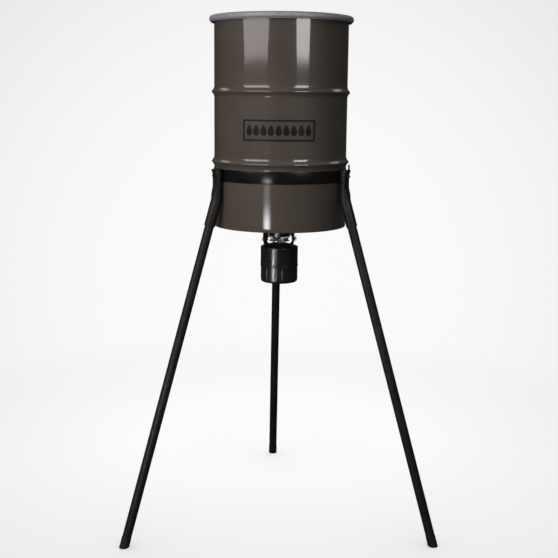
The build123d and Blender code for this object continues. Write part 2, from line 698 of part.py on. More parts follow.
def timer_faceplate():
    """Open-backed timer box: a front with holes for the buttons and the display, and four sides."""
    half = FACE_WIDTH / 2
    face = block((-half, -FACE_DEPTH, FACE_Z[0]), (half, 0, FACE_Z[1]))
    face = fillet(face.edges().filter_by(Axis.Y), 3.0)
    face -= block((-half + FACE_SHEET, -FACE_DEPTH + FACE_SHEET, FACE_Z[0] + FACE_SHEET),
                  (half - FACE_SHEET, 1, FACE_Z[1] - FACE_SHEET))
    for x in BUTTON_XS.values():
        face -= Pos(x, -FACE_DEPTH - 1, BUTTON_Z) * Rot(-90, 0, 0) * Cylinder(BUTTON_R + 0.3, 5, align=UP)
    for x, z in face_screw_places():
        face -= Pos(x, -FACE_DEPTH - 1, z) * Rot(-90, 0, 0) * Cylinder(1.3, 5, align=UP)
    for side in (-1, 1):
        for x, y in ((20, -18), (28, -13)):
            face -= Pos(side * x, y, 0) * disc(1.3, FACE_Z[1] - 3, FACE_Z[1] + 1)
    return face - lcd_opening(LCD_SIZE[0], LCD_SIZE[1], -FACE_DEPTH - 1, 4)


def lcd_opening(width, height, y, depth):
    return block((-width / 2, y, LCD_Z - height / 2), (width / 2, y + depth, LCD_Z + height / 2))


def lcd_window():
    return lcd_opening(LCD_SIZE[0], LCD_SIZE[1], -FACE_DEPTH, FACE_SHEET)


def lcd_panel():
    return lcd_opening(LCD_SIZE[0] + 3, LCD_SIZE[1] + 3, -29.5, 3.5)


def timer_board():
    """Circuit board with a switch under each button."""
    board = block((-33, -26, 899), (33, -24.4, 939))
    for x in BUTTON_XS.values():
        board += block((x - 3, -27.2, BUTTON_Z - 3), (x + 3, -26, BUTTON_Z + 3))
    return board


def timer_screws():
    screw = disc(1.3, 0, FACE_DEPTH + WALL_SHEET) + disc(2.6, -1.6, 0)
    return Compound([Pos(x, -FACE_DEPTH, z) * Rot(-90, 0, 0) * screw for x, z in face_screw_places()])


def timer_button(x):
    """Push button with a collar inside the face that keeps it captive."""
    stem = disc(BUTTON_R, -2.5, 7.5)
    stem = fillet(stem.edges().sort_by(Axis.Z)[0], 1.0)
    stem += disc(BUTTON_R + 1.3, FACE_SHEET + 0.2, FACE_SHEET + 1.2)
    return Pos(x, -FACE_DEPTH, BUTTON_Z) * Rot(-90, 0, 0) * stem


# ---------------------------------------------------------------- assembly

parts["drum_shell"] = drum_shell()
parts["drum_bottom_head"] = drum_bottom_head()
parts["feed_funnel"] = feed_funnel()
parts["drum_label"] = drum_label()
parts["lid"] = lid()
parts["lid_gasket"] = lid_gasket()
parts["locking_ring"] = locking_ring()
parts["ring_end_brackets"] = ring_end_brackets()
parts["ring_lever"] = ring_lever()
parts["lever_pin"] = lever_pin()
for side, angle in LEG_ANGLES.items():
    parts[f"leg_bracket_{side}"] = leg_bracket(angle)
    parts[f"upper_leg_{side}"] = upper_leg(angle)
    parts[f"lower_leg_{side}"] = lower_leg(angle)
    parts[f"foot_cap_{side}"] = foot_cap(angle)
parts["support_band_front"] = support_band(LEG_ANGLES["left"])
parts["support_band_right"] = support_band(LEG_ANGLES["right"])
parts["support_band_left"] = support_band(LEG_ANGLES["rear"])
parts["bracket_bolts"] = Compound([bracket_bolt(a) for a in LEG_ANGLES.values()])
parts["bracket_nuts"] = Compound([bracket_nut(a) for a in LEG_ANGLES.values()])
parts["hanger_flange"] = hanger_flange()
parts["flange_screws"] = flange_screws()
parts["flange_nuts"] = flange_nuts()
for side in POST_ANGLES:
    parts[f"hanger_post_{side}"] = hanger_post(side)
parts["post_screws"] = post_screws()
parts["hanger_bolts"] = hanger_bolts()
parts["hanger_nuts"] = hanger_nuts()
parts["spinner_plate"] = spinner_plate()
parts["spinner_hub"] = spinner_hub()
parts["hub_set_screw"] = hub_set_screw()
parts["motor_shaft"] = motor_shaft()
parts["housing_shell"] = housing_shell()
parts["housing_seal"] = housing_seal()
parts["housing_cap"] = housing_cap()
parts["motor_can"] = motor_can()
parts["motor_screws"] = motor_screws()
parts["chassis"] = chassis()
parts["chassis_screws"] = chassis_screws()
parts["battery"] = battery()
parts["battery_terminals"] = battery_terminals()
parts["battery_strap"] = battery_strap()
parts["motor_leads"] = motor_leads()
parts["battery_leads"] = battery_leads()
parts["timer_faceplate"] = timer_faceplate()
parts["timer_board"] = timer_board()
parts["timer_screws"] = timer_screws()
parts["lcd_window"] = lcd_window()
parts["lcd_panel"] = lcd_panel()
for name, x in BUTTON_XS.items():
    parts[f"timer_button_{name}"] = timer_button(x)

box = Compound([parts[f"foot_cap_{side}"] for side in LEG_ANGLES]).bounding_box()
centre = box.center()
to_origin = Pos(-centre.X, -centre.Y, 0)
print("drum axis at x", round(-centre.X, 4), "y", round(-centre.Y, 4))

os.makedirs("parts", exist_ok=True)
for name, shape in parts.items():
    export_step(to_origin * shape, f"parts/{name}.step")
print(len(parts), "nodes")
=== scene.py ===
"""A tripod game feeder, rebuilt piece by piece as surfaces round its fixed frame. Metres, +Z up."""

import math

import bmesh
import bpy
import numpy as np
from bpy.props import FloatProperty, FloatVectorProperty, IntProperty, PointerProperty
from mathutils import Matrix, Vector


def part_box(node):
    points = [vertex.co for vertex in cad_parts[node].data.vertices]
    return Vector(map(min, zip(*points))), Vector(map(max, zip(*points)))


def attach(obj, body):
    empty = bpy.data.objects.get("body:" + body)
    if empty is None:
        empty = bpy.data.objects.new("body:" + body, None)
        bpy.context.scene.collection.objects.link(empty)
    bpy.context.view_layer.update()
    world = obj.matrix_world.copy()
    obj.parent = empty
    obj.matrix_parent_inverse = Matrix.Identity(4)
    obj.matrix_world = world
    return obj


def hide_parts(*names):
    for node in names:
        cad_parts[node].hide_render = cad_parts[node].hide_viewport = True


bl_info = {
    "name": "Tripod Game Feeder",
    "version": (1, 0, 0),
    "blender": (4, 5, 0),
    "location": "3D View > Sidebar > Feeder",
    "description": "Makes a drum feeder on a tripod from its frame, with its finishes and studio",
    "category": "Add Mesh",
}

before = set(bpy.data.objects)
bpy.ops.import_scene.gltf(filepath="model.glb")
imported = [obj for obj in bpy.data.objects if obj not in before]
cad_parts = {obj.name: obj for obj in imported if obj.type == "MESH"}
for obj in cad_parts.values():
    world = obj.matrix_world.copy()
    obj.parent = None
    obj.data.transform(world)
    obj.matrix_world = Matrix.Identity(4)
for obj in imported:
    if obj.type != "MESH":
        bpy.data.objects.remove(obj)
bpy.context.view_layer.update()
STAND = "drum_and_stand"
TURN = 2 * math.pi

# Each leg's angle round the drum, and the leg that each strap starts from
LEGS = {"left": 210.0, "right": 330.0, "rear": 90.0}
BANDS = {"front": "left", "right": "right", "left": "rear"}


# ------------------------------------------------------------------ places read from the frame

def corners(node):
    """Lowest and highest corner of a frame node as two arrays."""
    low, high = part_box(node)
    return np.array(low), np.array(high)


def middle(node):
    """Centre of a frame node's box."""
    low, high = corners(node)
    return (low + high) / 2


def half_width(node):
    """Half of a frame node's extent along X, which is the radius of a round one."""
    low, high = corners(node)
    return float(high[0] - low[0]) / 2


def low_z(node):
    """Height of a frame node's lowest point."""
    return float(corners(node)[0][2])


def high_z(node):
    """Height of a frame node's highest point."""
    return float(corners(node)[1][2])


AXIS = np.array([*middle("housing_shell")[:2], 0.0])

# Thickness of each sheet and wall
DRUM_SHEET = 0.0012
HEAD_SHEET = 0.0016
LID_SHEET = 0.0012
RING_SHEET = 0.0016
BAND_SHEET = 0.0014
SOCKET_WALL = 0.0018
FUNNEL_SHEET = 0.0015
PLATE_SHEET = 0.0012
HOUSING_WALL = 0.0025
CAP_WALL = 0.0017

# Distances from the drum's axis
SOCKET_CENTRE = 0.2555
BOLT_HEAD = 0.2293
NUT_SEAT = 0.2625
LEVER_PIN = 0.257
SPOUT = 0.038
HANGER_SEATS = {"left": 0.0417, "right": 0.0535}

# Angles round the drum's axis in degrees
LEVER_ANGLE = 80.0
HANGERS = {"left": 188.0, "right": 8.0}
VANES = (25.0, 115.0, 205.0, 295.0)


# ------------------------------------------------------------------ sizes and colours to change

class FeederDrum(bpy.types.PropertyGroup):
    """Sizes and paint of the drum and its lid."""
    radius: FloatProperty(
        name="Body radius", description="Outer radius of the drum's wall", unit="LENGTH",
        default=half_width("drum_bottom_head") - HEAD_SHEET)
    hoop_proud: FloatProperty(
        name="Hoop height", description="How far a rolling hoop stands out", unit="LENGTH",
        default=0.009)
    hoop_half: FloatProperty(
        name="Hoop half width", description="Half of a hoop's width along the drum", unit="LENGTH",
        default=0.0205)
    hoop_low: FloatProperty(
        name="Lower hoop", description="Height of the lower hoop above the drum's bottom",
        unit="LENGTH", default=0.2275)
    hoop_high: FloatProperty(
        name="Upper hoop", description="Height of the upper hoop above the drum's bottom",
        unit="LENGTH", default=0.4675)
    paint: FloatVectorProperty(
        name="Drum paint", description="Enamel on the drum and lid", subtype="COLOR",
        default=(0.0468, 0.0376, 0.0308))
    ink: FloatVectorProperty(
        name="Decal ink", description="Printed decal on the front", subtype="COLOR",
        default=(0.0035, 0.0035, 0.0035))
    kernels: IntProperty(name="Kernels", description="Grain shapes on the decal", default=9)


class FeederStand(bpy.types.PropertyGroup):
    """Sizes and paint of the tripod and its straps."""
    slope: FloatProperty(
        name="Leg slope", description="Angle of a leg from upright", subtype="ANGLE",
        default=math.radians(17.03))
    tube_radius: FloatProperty(
        name="Leg radius", description="Outer radius of a leg tube", unit="LENGTH",
        default=half_width("upper_leg_rear"))
    tube_wall: FloatProperty(
        name="Tube wall", description="Wall of the leg tubes", unit="LENGTH", default=0.0015)
    socket_radius: FloatProperty(
        name="Socket radius", description="Outer radius of a bracket's tube", unit="LENGTH",
        default=half_width("leg_bracket_rear"))
    socket_bend: FloatProperty(
        name="Bend height", description="Height of the bracket's bend", unit="LENGTH", default=1.194)
    socket_bend_radius: FloatProperty(
        name="Bend radius", description="Radius of the bracket's bend", unit="LENGTH", default=0.060)
    press_depth: FloatProperty(
        name="Press depth", description="How far a bracket's outer side is pushed in", unit="LENGTH",
        default=0.0125)
    paint: FloatVectorProperty(
        name="Tripod paint", description="Powder coat on the tripod and straps", subtype="COLOR",
        default=(0.0090, 0.0083, 0.0080))


class FeederUnit(bpy.types.PropertyGroup):
    """Sizes and colours of the spinner unit under the drum."""
    ribs: IntProperty(name="Cap ribs", description="Gripping ribs round the cap", default=20)
    rib_proud: FloatProperty(
        name="Rib height", description="How far a rib stands out of the cap", unit="LENGTH",
        default=0.0009)
    plastic: FloatVectorProperty(
        name="Housing plastic", description="Moulded housing and cap", subtype="COLOR",
        default=(0.0035, 0.0035, 0.0036))
    zinc: FloatVectorProperty(
        name="Zinc", description="Galvanised and plated metal", subtype="COLOR",
        default=(0.60, 0.59, 0.57))
    ring: FloatVectorProperty(
        name="Closing ring", description="Dull galvanised closing ring", subtype="COLOR",
        default=(0.165, 0.165, 0.182))


class FeederStudio(bpy.types.PropertyGroup):
    """Camera, floor and lights."""
    distance: FloatProperty(
        name="Camera distance", description="Level distance from the drum's axis", unit="LENGTH",
        default=3.529)
    height: FloatProperty(
        name="Camera height", description="Height above the floor", unit="LENGTH", default=1.539)
    turn: FloatProperty(
        name="Camera turn", description="Turn round the drum from straight in front", subtype="ANGLE",
        default=math.radians(-1.84))
    pitch: FloatProperty(
        name="Camera pitch", description="Downward tilt", subtype="ANGLE", default=math.radians(10.405))
    roll: FloatProperty(
        name="Camera roll", description="Turn about the line of sight", subtype="ANGLE",
        default=math.radians(0.57))
    lens: FloatProperty(
        name="Lens", description="Focal length in millimetres on a 36 mm sensor", default=63.79)
    floor: FloatVectorProperty(
        name="Floor", description="Pale studio floor", subtype="COLOR", default=(0.80, 0.80, 0.80))
    floor_glow: FloatProperty(
        name="Floor glow", description="Light that the white floor gives of itself", default=0.50)
    fill: FloatProperty(name="Fill", description="Power of the main soft light in watts", default=75.0)
    fill_top: FloatProperty(
        name="Top fill", description="Power of the soft light overhead in watts", default=30.0)
    box_left: FloatProperty(name="Left box", description="Radiance of the wide panel", default=5.2)
    box_right: FloatProperty(name="Right box", description="Radiance of the slim panel", default=10.8)
    strip_low: FloatProperty(name="Low strip", description="Radiance of the low panel", default=24.0)
    strip_unit: FloatProperty(
        name="Unit strip", description="Radiance of the panel that the housing mirrors", default=95.0)
    box_high: FloatProperty(
        name="High boxes", description="Radiance of the two high rear panels", default=2.2)


# ------------------------------------------------------------------ surfaces

def surface(name, points, around=True, along=True):
    """Joins a grid of points into quads. Rows wrap round if `around`, columns wrap round if `along`.
    Doubled points merge, so a row gathered into one point is a closed pole, and faces turn outwards."""
    points = np.asarray(points, float)
    rows, columns = points.shape[:2]
    index = np.arange(rows * columns).reshape(rows, columns)
    if along:
        index = np.vstack([index, index[:1]])
    if around:
        index = np.hstack([index, index[:, :1]])
    quads = np.stack([index[:-1, :-1], index[:-1, 1:], index[1:, 1:], index[1:, :-1]], -1)
    mesh = bpy.data.meshes.new(name)
    mesh.from_pydata(points.reshape(-1, 3).tolist(), [], quads.reshape(-1, 4).tolist())
    work = bmesh.new()
    work.from_mesh(mesh)
    bmesh.ops.remove_doubles(work, verts=work.verts, dist=1e-6)
    bmesh.ops.recalc_face_normals(work, faces=work.faces)
    work.to_mesh(mesh)
    work.free()
    mesh.shade_smooth()
    mesh.set_sharp_from_angle(angle=math.radians(38))
    piece = bpy.data.objects.new(name, mesh)
    bpy.context.scene.collection.objects.link(piece)
    return piece


def joined(name, pieces):
    """Several surfaces as one object."""
    with bpy.context.temp_override(active_object=pieces[0], selected_editable_objects=pieces):
        bpy.ops.object.join()
    pieces[0].name = name
    return pieces[0]


def bent(points, radii=0.0, steps=7):
    """A path through the points with each inner corner replaced by an arc of the given radius. The
    arc leaves each side at radius times the tangent of half the turn, round their common centre."""
    points = np.asarray(points, float)
    radii = np.broadcast_to(radii, len(points) - 2)
    path = [points[:1]]
    for before, corner, after, radius in zip(points[:-2], points[1:-1], points[2:], radii):
        into = (corner - before) / np.linalg.norm(corner - before)
        out = (after - corner) / np.linalg.norm(after - corner)
        turn = math.acos(float(np.clip(into @ out, -1, 1)))
        if radius <= 0 or turn < 1e-4:
            path.append(corner[None])
            continue
        reach = radius * math.tan(turn / 2)
        start = corner - into * reach
        side = out - into * (into @ out)
        side = side / np.linalg.norm(side)
        t = np.linspace(0, turn, steps)[:, None]
        path.append(start + into * radius * np.sin(t) + side * radius * (1 - np.cos(t)))
    path.append(points[-1:])
    return np.vstack(path)


def loop(points, radii, steps=5):
    """A closed outline with rounded corners: a path that starts and ends in its last side's middle."""
    points = np.asarray(points, float)
    start = (points[0] + points[-1]) / 2
    radii = np.broadcast_to(radii, len(points))
    return bent(np.vstack([start, points, start]), radii, steps)[:-1]


def slab(inner, outer, low, high, radii, steps=5):
    """The closed outline of a rectangle with rounded corners, from its inner low corner."""
    return loop([(inner, low), (outer, low), (outer, high), (inner, high)], radii, steps)


def thickened(path, wall):
    """A closed outline: the path, then back along the path moved `wall` to its left."""
    along = np.gradient(path, axis=0)
    along = along / np.linalg.norm(along, axis=1)[:, None]
    left = np.stack([-along[:, 1], along[:, 0]], 1)
    return np.vstack([path, (path + left * wall)[::-1]])


def finer(path, longest):
    """The path with its long sides cut into steps no longer than `longest`."""
    path = np.asarray(path, float)
    lengths = np.linalg.norm(np.diff(path, axis=0), axis=1)
    pieces = [np.linspace(a, b, max(1, math.ceil(d / longest)), endpoint=False)
              for a, b, d in zip(path[:-1], path[1:], lengths)]
    return np.vstack(pieces + [path[-1:]])


def lathe(name, outline, centre=AXIS, segments=224, ripple=None, along=True):
    """Turns a (radius, height) outline about an upright axis: x = r cos a, y = r sin a. The radius
    may gain ripple(angle, radius, height)."""
    angle = np.linspace(0, TURN, segments, endpoint=False)[None, :]
    radius, height = outline[:, :1], outline[:, 1:2]
    r = radius + (ripple(angle, radius, height) if ripple else 0 * angle)
    z = height + 0 * angle
    grid = np.stack([r * np.cos(angle), r * np.sin(angle), z], -1) + centre
    return surface(name, grid, along=along)


def capped(grid):
    """Closes the two open ends of a grid of rings by gathering an extra ring at each end's middle."""
    first = np.broadcast_to(grid[:1].mean(axis=1, keepdims=True), grid[:1].shape)
    last = np.broadcast_to(grid[-1:].mean(axis=1, keepdims=True), grid[-1:].shape)
    return np.concatenate([first, grid, last])


def strip(name, outline, start, end, steps=72, lift=None, centre=AXIS):
    """Part of a ring: a closed (radius, height) outline carried from one angle to another, with an
    optional lift(angle) added to its radius."""
    angle = np.radians(np.linspace(start, end, steps))[:, None]
    r = outline[None, :, 0] + (lift(angle) if lift else 0)
    z = outline[None, :, 1] + 0 * angle
    grid = np.stack([r * np.cos(angle), r * np.sin(angle), z], -1) + centre
    return surface(name, capped(grid), along=False)


def spun(outline, origin, axis, segments=48):
    """Grid of a (radius, distance) outline turned about any line: the line's point at that distance
    plus r cos a along one square direction and r sin a along the other."""
    axis = np.asarray(axis, float) / np.linalg.norm(axis)
    side = np.cross(axis, [0.0, 0.0, 1.0] if abs(axis[2]) < 0.9 else [1.0, 0.0, 0.0])
    side = side / np.linalg.norm(side)
    other = np.cross(axis, side)
    angle = np.linspace(0, TURN, segments, endpoint=False)[None, :, None]
    r, d = outline[:, 0][:, None, None], outline[:, 1][:, None, None]
    return np.asarray(origin) + axis * d + r * (side * np.cos(angle) + other * np.sin(angle))


def eased(tree, value, start, end, low, high, kind="SMOOTHSTEP"):
    """A node that goes from `low` to `high` as its input goes from `start` to `end`."""
    node = tree.nodes.new("ShaderNodeMapRange")
    node.interpolation_type = kind
    for socket, number in (("From Min", start), ("From Max", end), ("To Min", low), ("To Max", high)):
        node.inputs[socket].default_value = number
    tree.links.new(value, node.inputs["Value"])
    return node.outputs["Result"]


def smooth(t):
    """Eases from 0 to 1 with no slope at either end."""
    t = np.clip(t, 0, 1)
    return t * t * (3 - 2 * t)


def outward(angle_deg):
    """Level unit vector away from the drum's axis."""
    a = math.radians(angle_deg)
    return np.array([math.cos(a), math.sin(a), 0.0])


# ------------------------------------------------------------------ finishes

class Finish:
    """Builds one procedural material on Object coordinates."""

    def __init__(self, name, colour, roughness, metallic=0.0):
        self.material = bpy.data.materials.new(name)
        self.material.use_nodes = True
        self.tree = self.material.node_tree
        self.shader = self.tree.nodes["Principled BSDF"]
        self.place = self.tree.nodes.new("ShaderNodeTexCoord")
        self.colour = colour
        self.set("Base Color", (*colour, 1))
        self.set("Roughness", roughness)
        self.set("Metallic", metallic)
        self.last_colour = None
        self.normal = None

    def set(self, socket, value):
        """Sets one of the shader's own sockets."""
        self.shader.inputs[socket].default_value = value

    def link(self, a, b):
        self.tree.links.new(a, b)

    def noise(self, scale, detail=4.0, stretch=(1, 1, 1)):
        """Noise between 0 and 1 on the piece's own coordinates, each axis scaled by its stretch."""
        mapping = self.tree.nodes.new("ShaderNodeMapping")
        mapping.inputs["Scale"].default_value = stretch
        self.link(self.place.outputs["Object"], mapping.inputs["Vector"])
        node = self.tree.nodes.new("ShaderNodeTexNoise")
        node.inputs["Scale"].default_value = scale
        node.inputs["Detail"].default_value = detail
        self.link(mapping.outputs["Vector"], node.inputs["Vector"])
        return node.outputs["Fac"]

    def spread(self, value, low, high, start=0.3, end=0.7):
        """Stretches the middle of a value's range in a straight line from `low` to `high`."""
        return eased(self.tree, value, start, end, low, high, "LINEAR")

    def mottle(self, scale, dark, light, stretch=(1, 1, 1), detail=4.0):
        """Varies the colour between two shades of it."""
        mix = self.tree.nodes.new("ShaderNodeMix")
        mix.data_type = "RGBA"
        self.link(self.spread(self.noise(scale, detail, stretch), 0, 1), mix.inputs["Factor"])
        mix.inputs["A"].default_value = (*(c * dark for c in self.colour), 1)
        mix.inputs["B"].default_value = (*(c * light for c in self.colour), 1)
        self.link(mix.outputs["Result"], self.shader.inputs["Base Color"])
        self.last_colour = mix.outputs["Result"]
        return self

    def dust(self, colour, amount, scale=18.0):
        """Pale dust that settles on what faces up, broken up by noise."""
        geometry = self.tree.nodes.new("ShaderNodeNewGeometry")
        split = self.tree.nodes.new("ShaderNodeSeparateXYZ")
        self.link(geometry.outputs["Normal"], split.inputs["Vector"])
        up = self.spread(split.outputs["Z"], 0, amount, 0.35, 1.0)
        patch = self.tree.nodes.new("ShaderNodeMath")
        patch.operation = "MULTIPLY"
        self.link(up, patch.inputs[0])
        self.link(self.spread(self.noise(scale), 0.4, 1), patch.inputs[1])
        mix = self.tree.nodes.new("ShaderNodeMix")
        mix.data_type = "RGBA"
        self.link(patch.outputs["Value"], mix.inputs["Factor"])
        self.link(self.last_colour, mix.inputs["A"])
        mix.inputs["B"].default_value = (*colour, 1)
        self.link(mix.outputs["Result"], self.shader.inputs["Base Color"])
        return self

    def gloss(self, scale, low, high, stretch=(1, 1, 1)):
        """Varies the roughness over the surface."""
        rough = self.spread(self.noise(scale, 5.0, stretch), low, high)
        self.link(rough, self.shader.inputs["Roughness"])
        return self

    def bump(self, scale, strength, distance, stretch=(1, 1, 1), detail=2.0):
        """Adds fine relief; each call stacks on the one before."""
        node = self.tree.nodes.new("ShaderNodeBump")
        node.inputs["Strength"].default_value = strength
        node.inputs["Distance"].default_value = distance
        self.link(self.noise(scale, detail, stretch), node.inputs["Height"])
        if self.normal is not None:
            self.link(self.normal, node.inputs["Normal"])
        self.normal = node.outputs["Normal"]
        self.link(self.normal, self.shader.inputs["Normal"])
        return self

    def coat(self, weight, roughness):
        """Adds a clear lacquer."""
        self.set("Coat Weight", weight)
        self.set("Coat Roughness", roughness)
        return self


def drum_enamel(colour):
    """Glossy brown-grey enamel: slight orange peel, faint mottling, soft wipe marks."""
    made = Finish("drum_enamel", colour, 0.42)
    made.mottle(5.0, 0.90, 1.10).dust((0.20, 0.18, 0.15), 0.25)
    made.gloss(22.0, 0.36, 0.50)
    made.bump(260.0, 0.10, 0.0004).bump(9.0, 0.25, 0.0012)
    made.set("Specular IOR Level", 0.08)
    return made.coat(0.85, 0.06).material


def powder_coat(colour):
    """Satin black powder coat with a fine even grain and rubbed patches."""
    made = Finish("powder_coat", colour, 0.40)
    made.mottle(14.0, 0.75, 1.35).gloss(40.0, 0.34, 0.48)
    made.set("Specular IOR Level", 0.12)
    return made.bump(1400.0, 0.25, 0.0003).material


def strap_enamel(colour):
    """Smooth glossy black on the straps, with faint drawn lines round the drum."""
    made = Finish("strap_enamel", tuple(0.40 * c for c in colour), 0.20)
    return made.mottle(25.0, 0.8, 1.2, (1, 1, 8)).gloss(60.0, 0.16, 0.24, (1, 1, 6)).material


def housing_plastic(colour):
    """Smooth black moulding with flow marks and hair scratches."""
    made = Finish("housing_plastic", colour, 0.15)
    made.mottle(20.0, 0.8, 1.3).gloss(60.0, 0.11, 0.19, (1, 1, 0.25))
    return made.bump(700.0, 0.05, 0.0002).bump(30.0, 0.04, 0.0004).material


def dull_zinc(colour):
    """Galvanised ring steel: spangle in soft patches."""
    made = Finish("dull_zinc", colour, 0.55, 0.12)
    made.mottle(70.0, 0.85, 1.12).gloss(90.0, 0.48, 0.62)
    made.set("Specular IOR Level", 0.25)
    return made.bump(300.0, 0.08, 0.0003).material


def bright_zinc(colour):
    """Bright plated metal with fine scratches."""
    made = Finish("bright_zinc", colour, 0.25, 0.70)
    made.mottle(160.0, 0.85, 1.1).gloss(220.0, 0.18, 0.36)
    return made.bump(900.0, 0.08, 0.0002).material


def worn_zinc_painted_shade(colour):
    """Funnel zinc with its colour cut to 0.16 of plain zinc as painted shade for its place under the drum,
    polished only in patches by the feed.
    """
    # The 0.16 factor on the colour is painted shade: it darkens the funnel as if it lay in the shade under
    # the drum.
    made = Finish("worn_zinc_painted_shade", tuple(0.16 * c for c in colour), 0.34, 1.0)
    made.mottle(60.0, 0.7, 1.3).gloss(90.0, 0.26, 0.44, (1, 1, 0.4))
    return made.bump(300.0, 0.10, 0.0003).material


def rubber(name, colour):
    """Matt moulded rubber with a fine tooth."""
    made = Finish(name, colour, 0.72)
    made.set("Specular IOR Level", 0.15)
    made.mottle(40.0, 0.75, 1.3).gloss(50.0, 0.62, 0.8)
    return made.bump(900.0, 0.3, 0.0003).material


def moulded(name, colour, roughness=0.5):
    """Plain moulded plastic with a spark-eroded texture."""
    made = Finish(name, colour, roughness)
    made.mottle(30.0, 0.85, 1.15).gloss(60.0, roughness - 0.06, roughness + 0.08)
    return made.bump(1600.0, 0.2, 0.0002).material


def printed_ink(colour):
    """Thin matt black print with a slightly uneven coat."""
    made = Finish("decal_ink", colour, 0.5)
    made.set("Specular IOR Level", 0.10)
    return made.mottle(120.0, 0.8, 1.25).gloss(80.0, 0.44, 0.56).material


def webbing(colour):
    """Woven nylon: fine noise, squeezed along the height into picks."""
    made = Finish("webbing", colour, 0.85)
    made.mottle(500.0, 0.6, 1.5, (1, 1, 3))
    return made.bump(1300.0, 0.6, 0.0004, (1, 1, 4)).material


def circuit_green(colour):
    """Lacquered laminate with darker tracks under the lacquer."""
    made = Finish("circuit_green", colour, 0.3)
    made.mottle(260.0, 0.55, 1.3, (4, 1, 1), 1.0)
    return made.bump(260.0, 0.2, 0.0002, (4, 1, 1)).material


def clear_window():
    """Clear display window with faint haze."""
    made = Finish("clear_window", (0.75, 0.8, 0.75), 0.06)
    made.set("Transmission Weight", 0.9)
    made.set("IOR", 1.49)
    made.set("Alpha", 0.55)
    return made.gloss(80.0, 0.04, 0.10).material


def keep(node, finish):
    """Gives a frame node that stays visible its finish."""
    material = bpy.data.materials[finish]
    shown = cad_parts[node]
    if not shown.material_slots:
        shown.data.materials.append(material)
    for entry in shown.material_slots:
        entry.material = material


def place(piece, body, node, slot, finish):
    """Puts a finished piece on its body, in place of its frame node."""
    piece.data.materials.clear()
    piece.data.materials.append(bpy.data.materials[finish])
    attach(piece, body)
    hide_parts(node)
    return piece


# ------------------------------------------------------------------ drum

def hoop_outline(radius, centre_z, drum, steps=9):
    """Two hollow arcs that meet a round peak, all tangent. For a height h and a half width w, the
    radii of hollow and peak add up to (h h + w w) / 2 h."""
    peak_radius = 0.005
    total = (drum.hoop_proud ** 2 + drum.hoop_half ** 2) / (2 * drum.hoop_proud)
    hollow_radius = total - peak_radius
    swing = math.atan2(drum.hoop_half, hollow_radius + peak_radius - drum.hoop_proud)
    t = np.linspace(0, swing, steps)
    hollow = np.stack([radius + hollow_radius * (1 - np.cos(t)),
                       -drum.hoop_half + hollow_radius * np.sin(t)], 1)
    t = np.linspace(-swing, 0, steps)[1:]
    peak = np.stack([radius + drum.hoop_proud - peak_radius * (1 - np.cos(t)),
                     peak_radius * np.sin(t)], 1)
    half = np.vstack([hollow, peak])
    whole = np.vstack([half, half[:-1][::-1] * [1, -1]])
    return whole + [0, centre_z]


class FEEDER_OT_drum_shell(bpy.types.Operator):
    """Drum wall with two rolling hoops, a curled rim and slight waves in the sheet"""
    bl_idname = "feeder.drum_shell"
    bl_label = "Drum shell"

    def execute(self, context):
        drum = context.scene.feeder_drum
        base = low_z("drum_bottom_head")
        curl_outer = 0.0055
        curl_z = high_z("drum_shell") - curl_outer
        path = [np.array([[drum.radius, low_z("drum_shell")]])]
        for rise in (drum.hoop_low, drum.hoop_high):
            path.append(hoop_outline(drum.radius, base + rise, drum))
        curl_radius = curl_outer - DRUM_SHEET
        t = np.radians(np.linspace(180, -100, 25))
        centre = drum.radius + curl_radius
        curl = np.stack([centre + curl_radius * np.cos(t), curl_z + curl_radius * np.sin(t)], 1)
        path.append(curl)
        outline = thickened(finer(np.vstack(path), 0.02), DRUM_SHEET)

        def waves(angle, r, z):
            """Sines of angle and height, a tenth of a millimetre deep, that fade out at both ends."""
            wave = np.sin(3 * angle + 9 * z) * np.sin(17 * z + 1.3) + 0.6 * np.sin(7 * angle - 13 * z)
            ends = smooth((z - base - 0.03) / 0.05), smooth((curl_z - 0.04 - z) / 0.05)
            return 0.00008 * wave * ends[0] * ends[1]

        shell = lathe("drum_shell_sheet", outline, segments=288, ripple=waves)
        weld = slab(drum.radius - 0.0002, drum.radius + 0.0005, base + 0.016, base + 0.205, 0.0002)
        seam = strip("drum_seam", weld, 99.6, 100.4, 4)
        place(joined("drum_shell_sheet", [shell, seam]), STAND, "drum_shell", "drum_paint", "drum_enamel")
        return {"FINISHED"}


class FEEDER_OT_drum_head(bpy.types.Operator):
    """Recessed bottom head whose rim folds round the wall's edge as the chime"""
    bl_idname = "feeder.drum_head"
    bl_label = "Drum bottom head"

    def execute(self, context):
        drum = context.scene.feeder_drum
        low, top = low_z("drum_bottom_head"), high_z("drum_bottom_head") - HEAD_SHEET
        inner = drum.radius - DRUM_SHEET - HEAD_SHEET
        outer = half_width("drum_bottom_head")
        hole = 0.0386
        path = bent([(hole, top), (0.150, top), (0.156, top + 0.0015), (0.162, top), (inner, top),
                     (inner, low), (outer, low), (outer, top - 0.001)],
                    [0.004, 0.004, 0.004, 0.008, 0.0021, 0.0021], 6)
        head = lathe("drum_head_sheet", thickened(path, HEAD_SHEET), segments=256)
        place(head, STAND, "drum_bottom_head", "drum_paint", "drum_enamel")
        return {"FINISHED"}


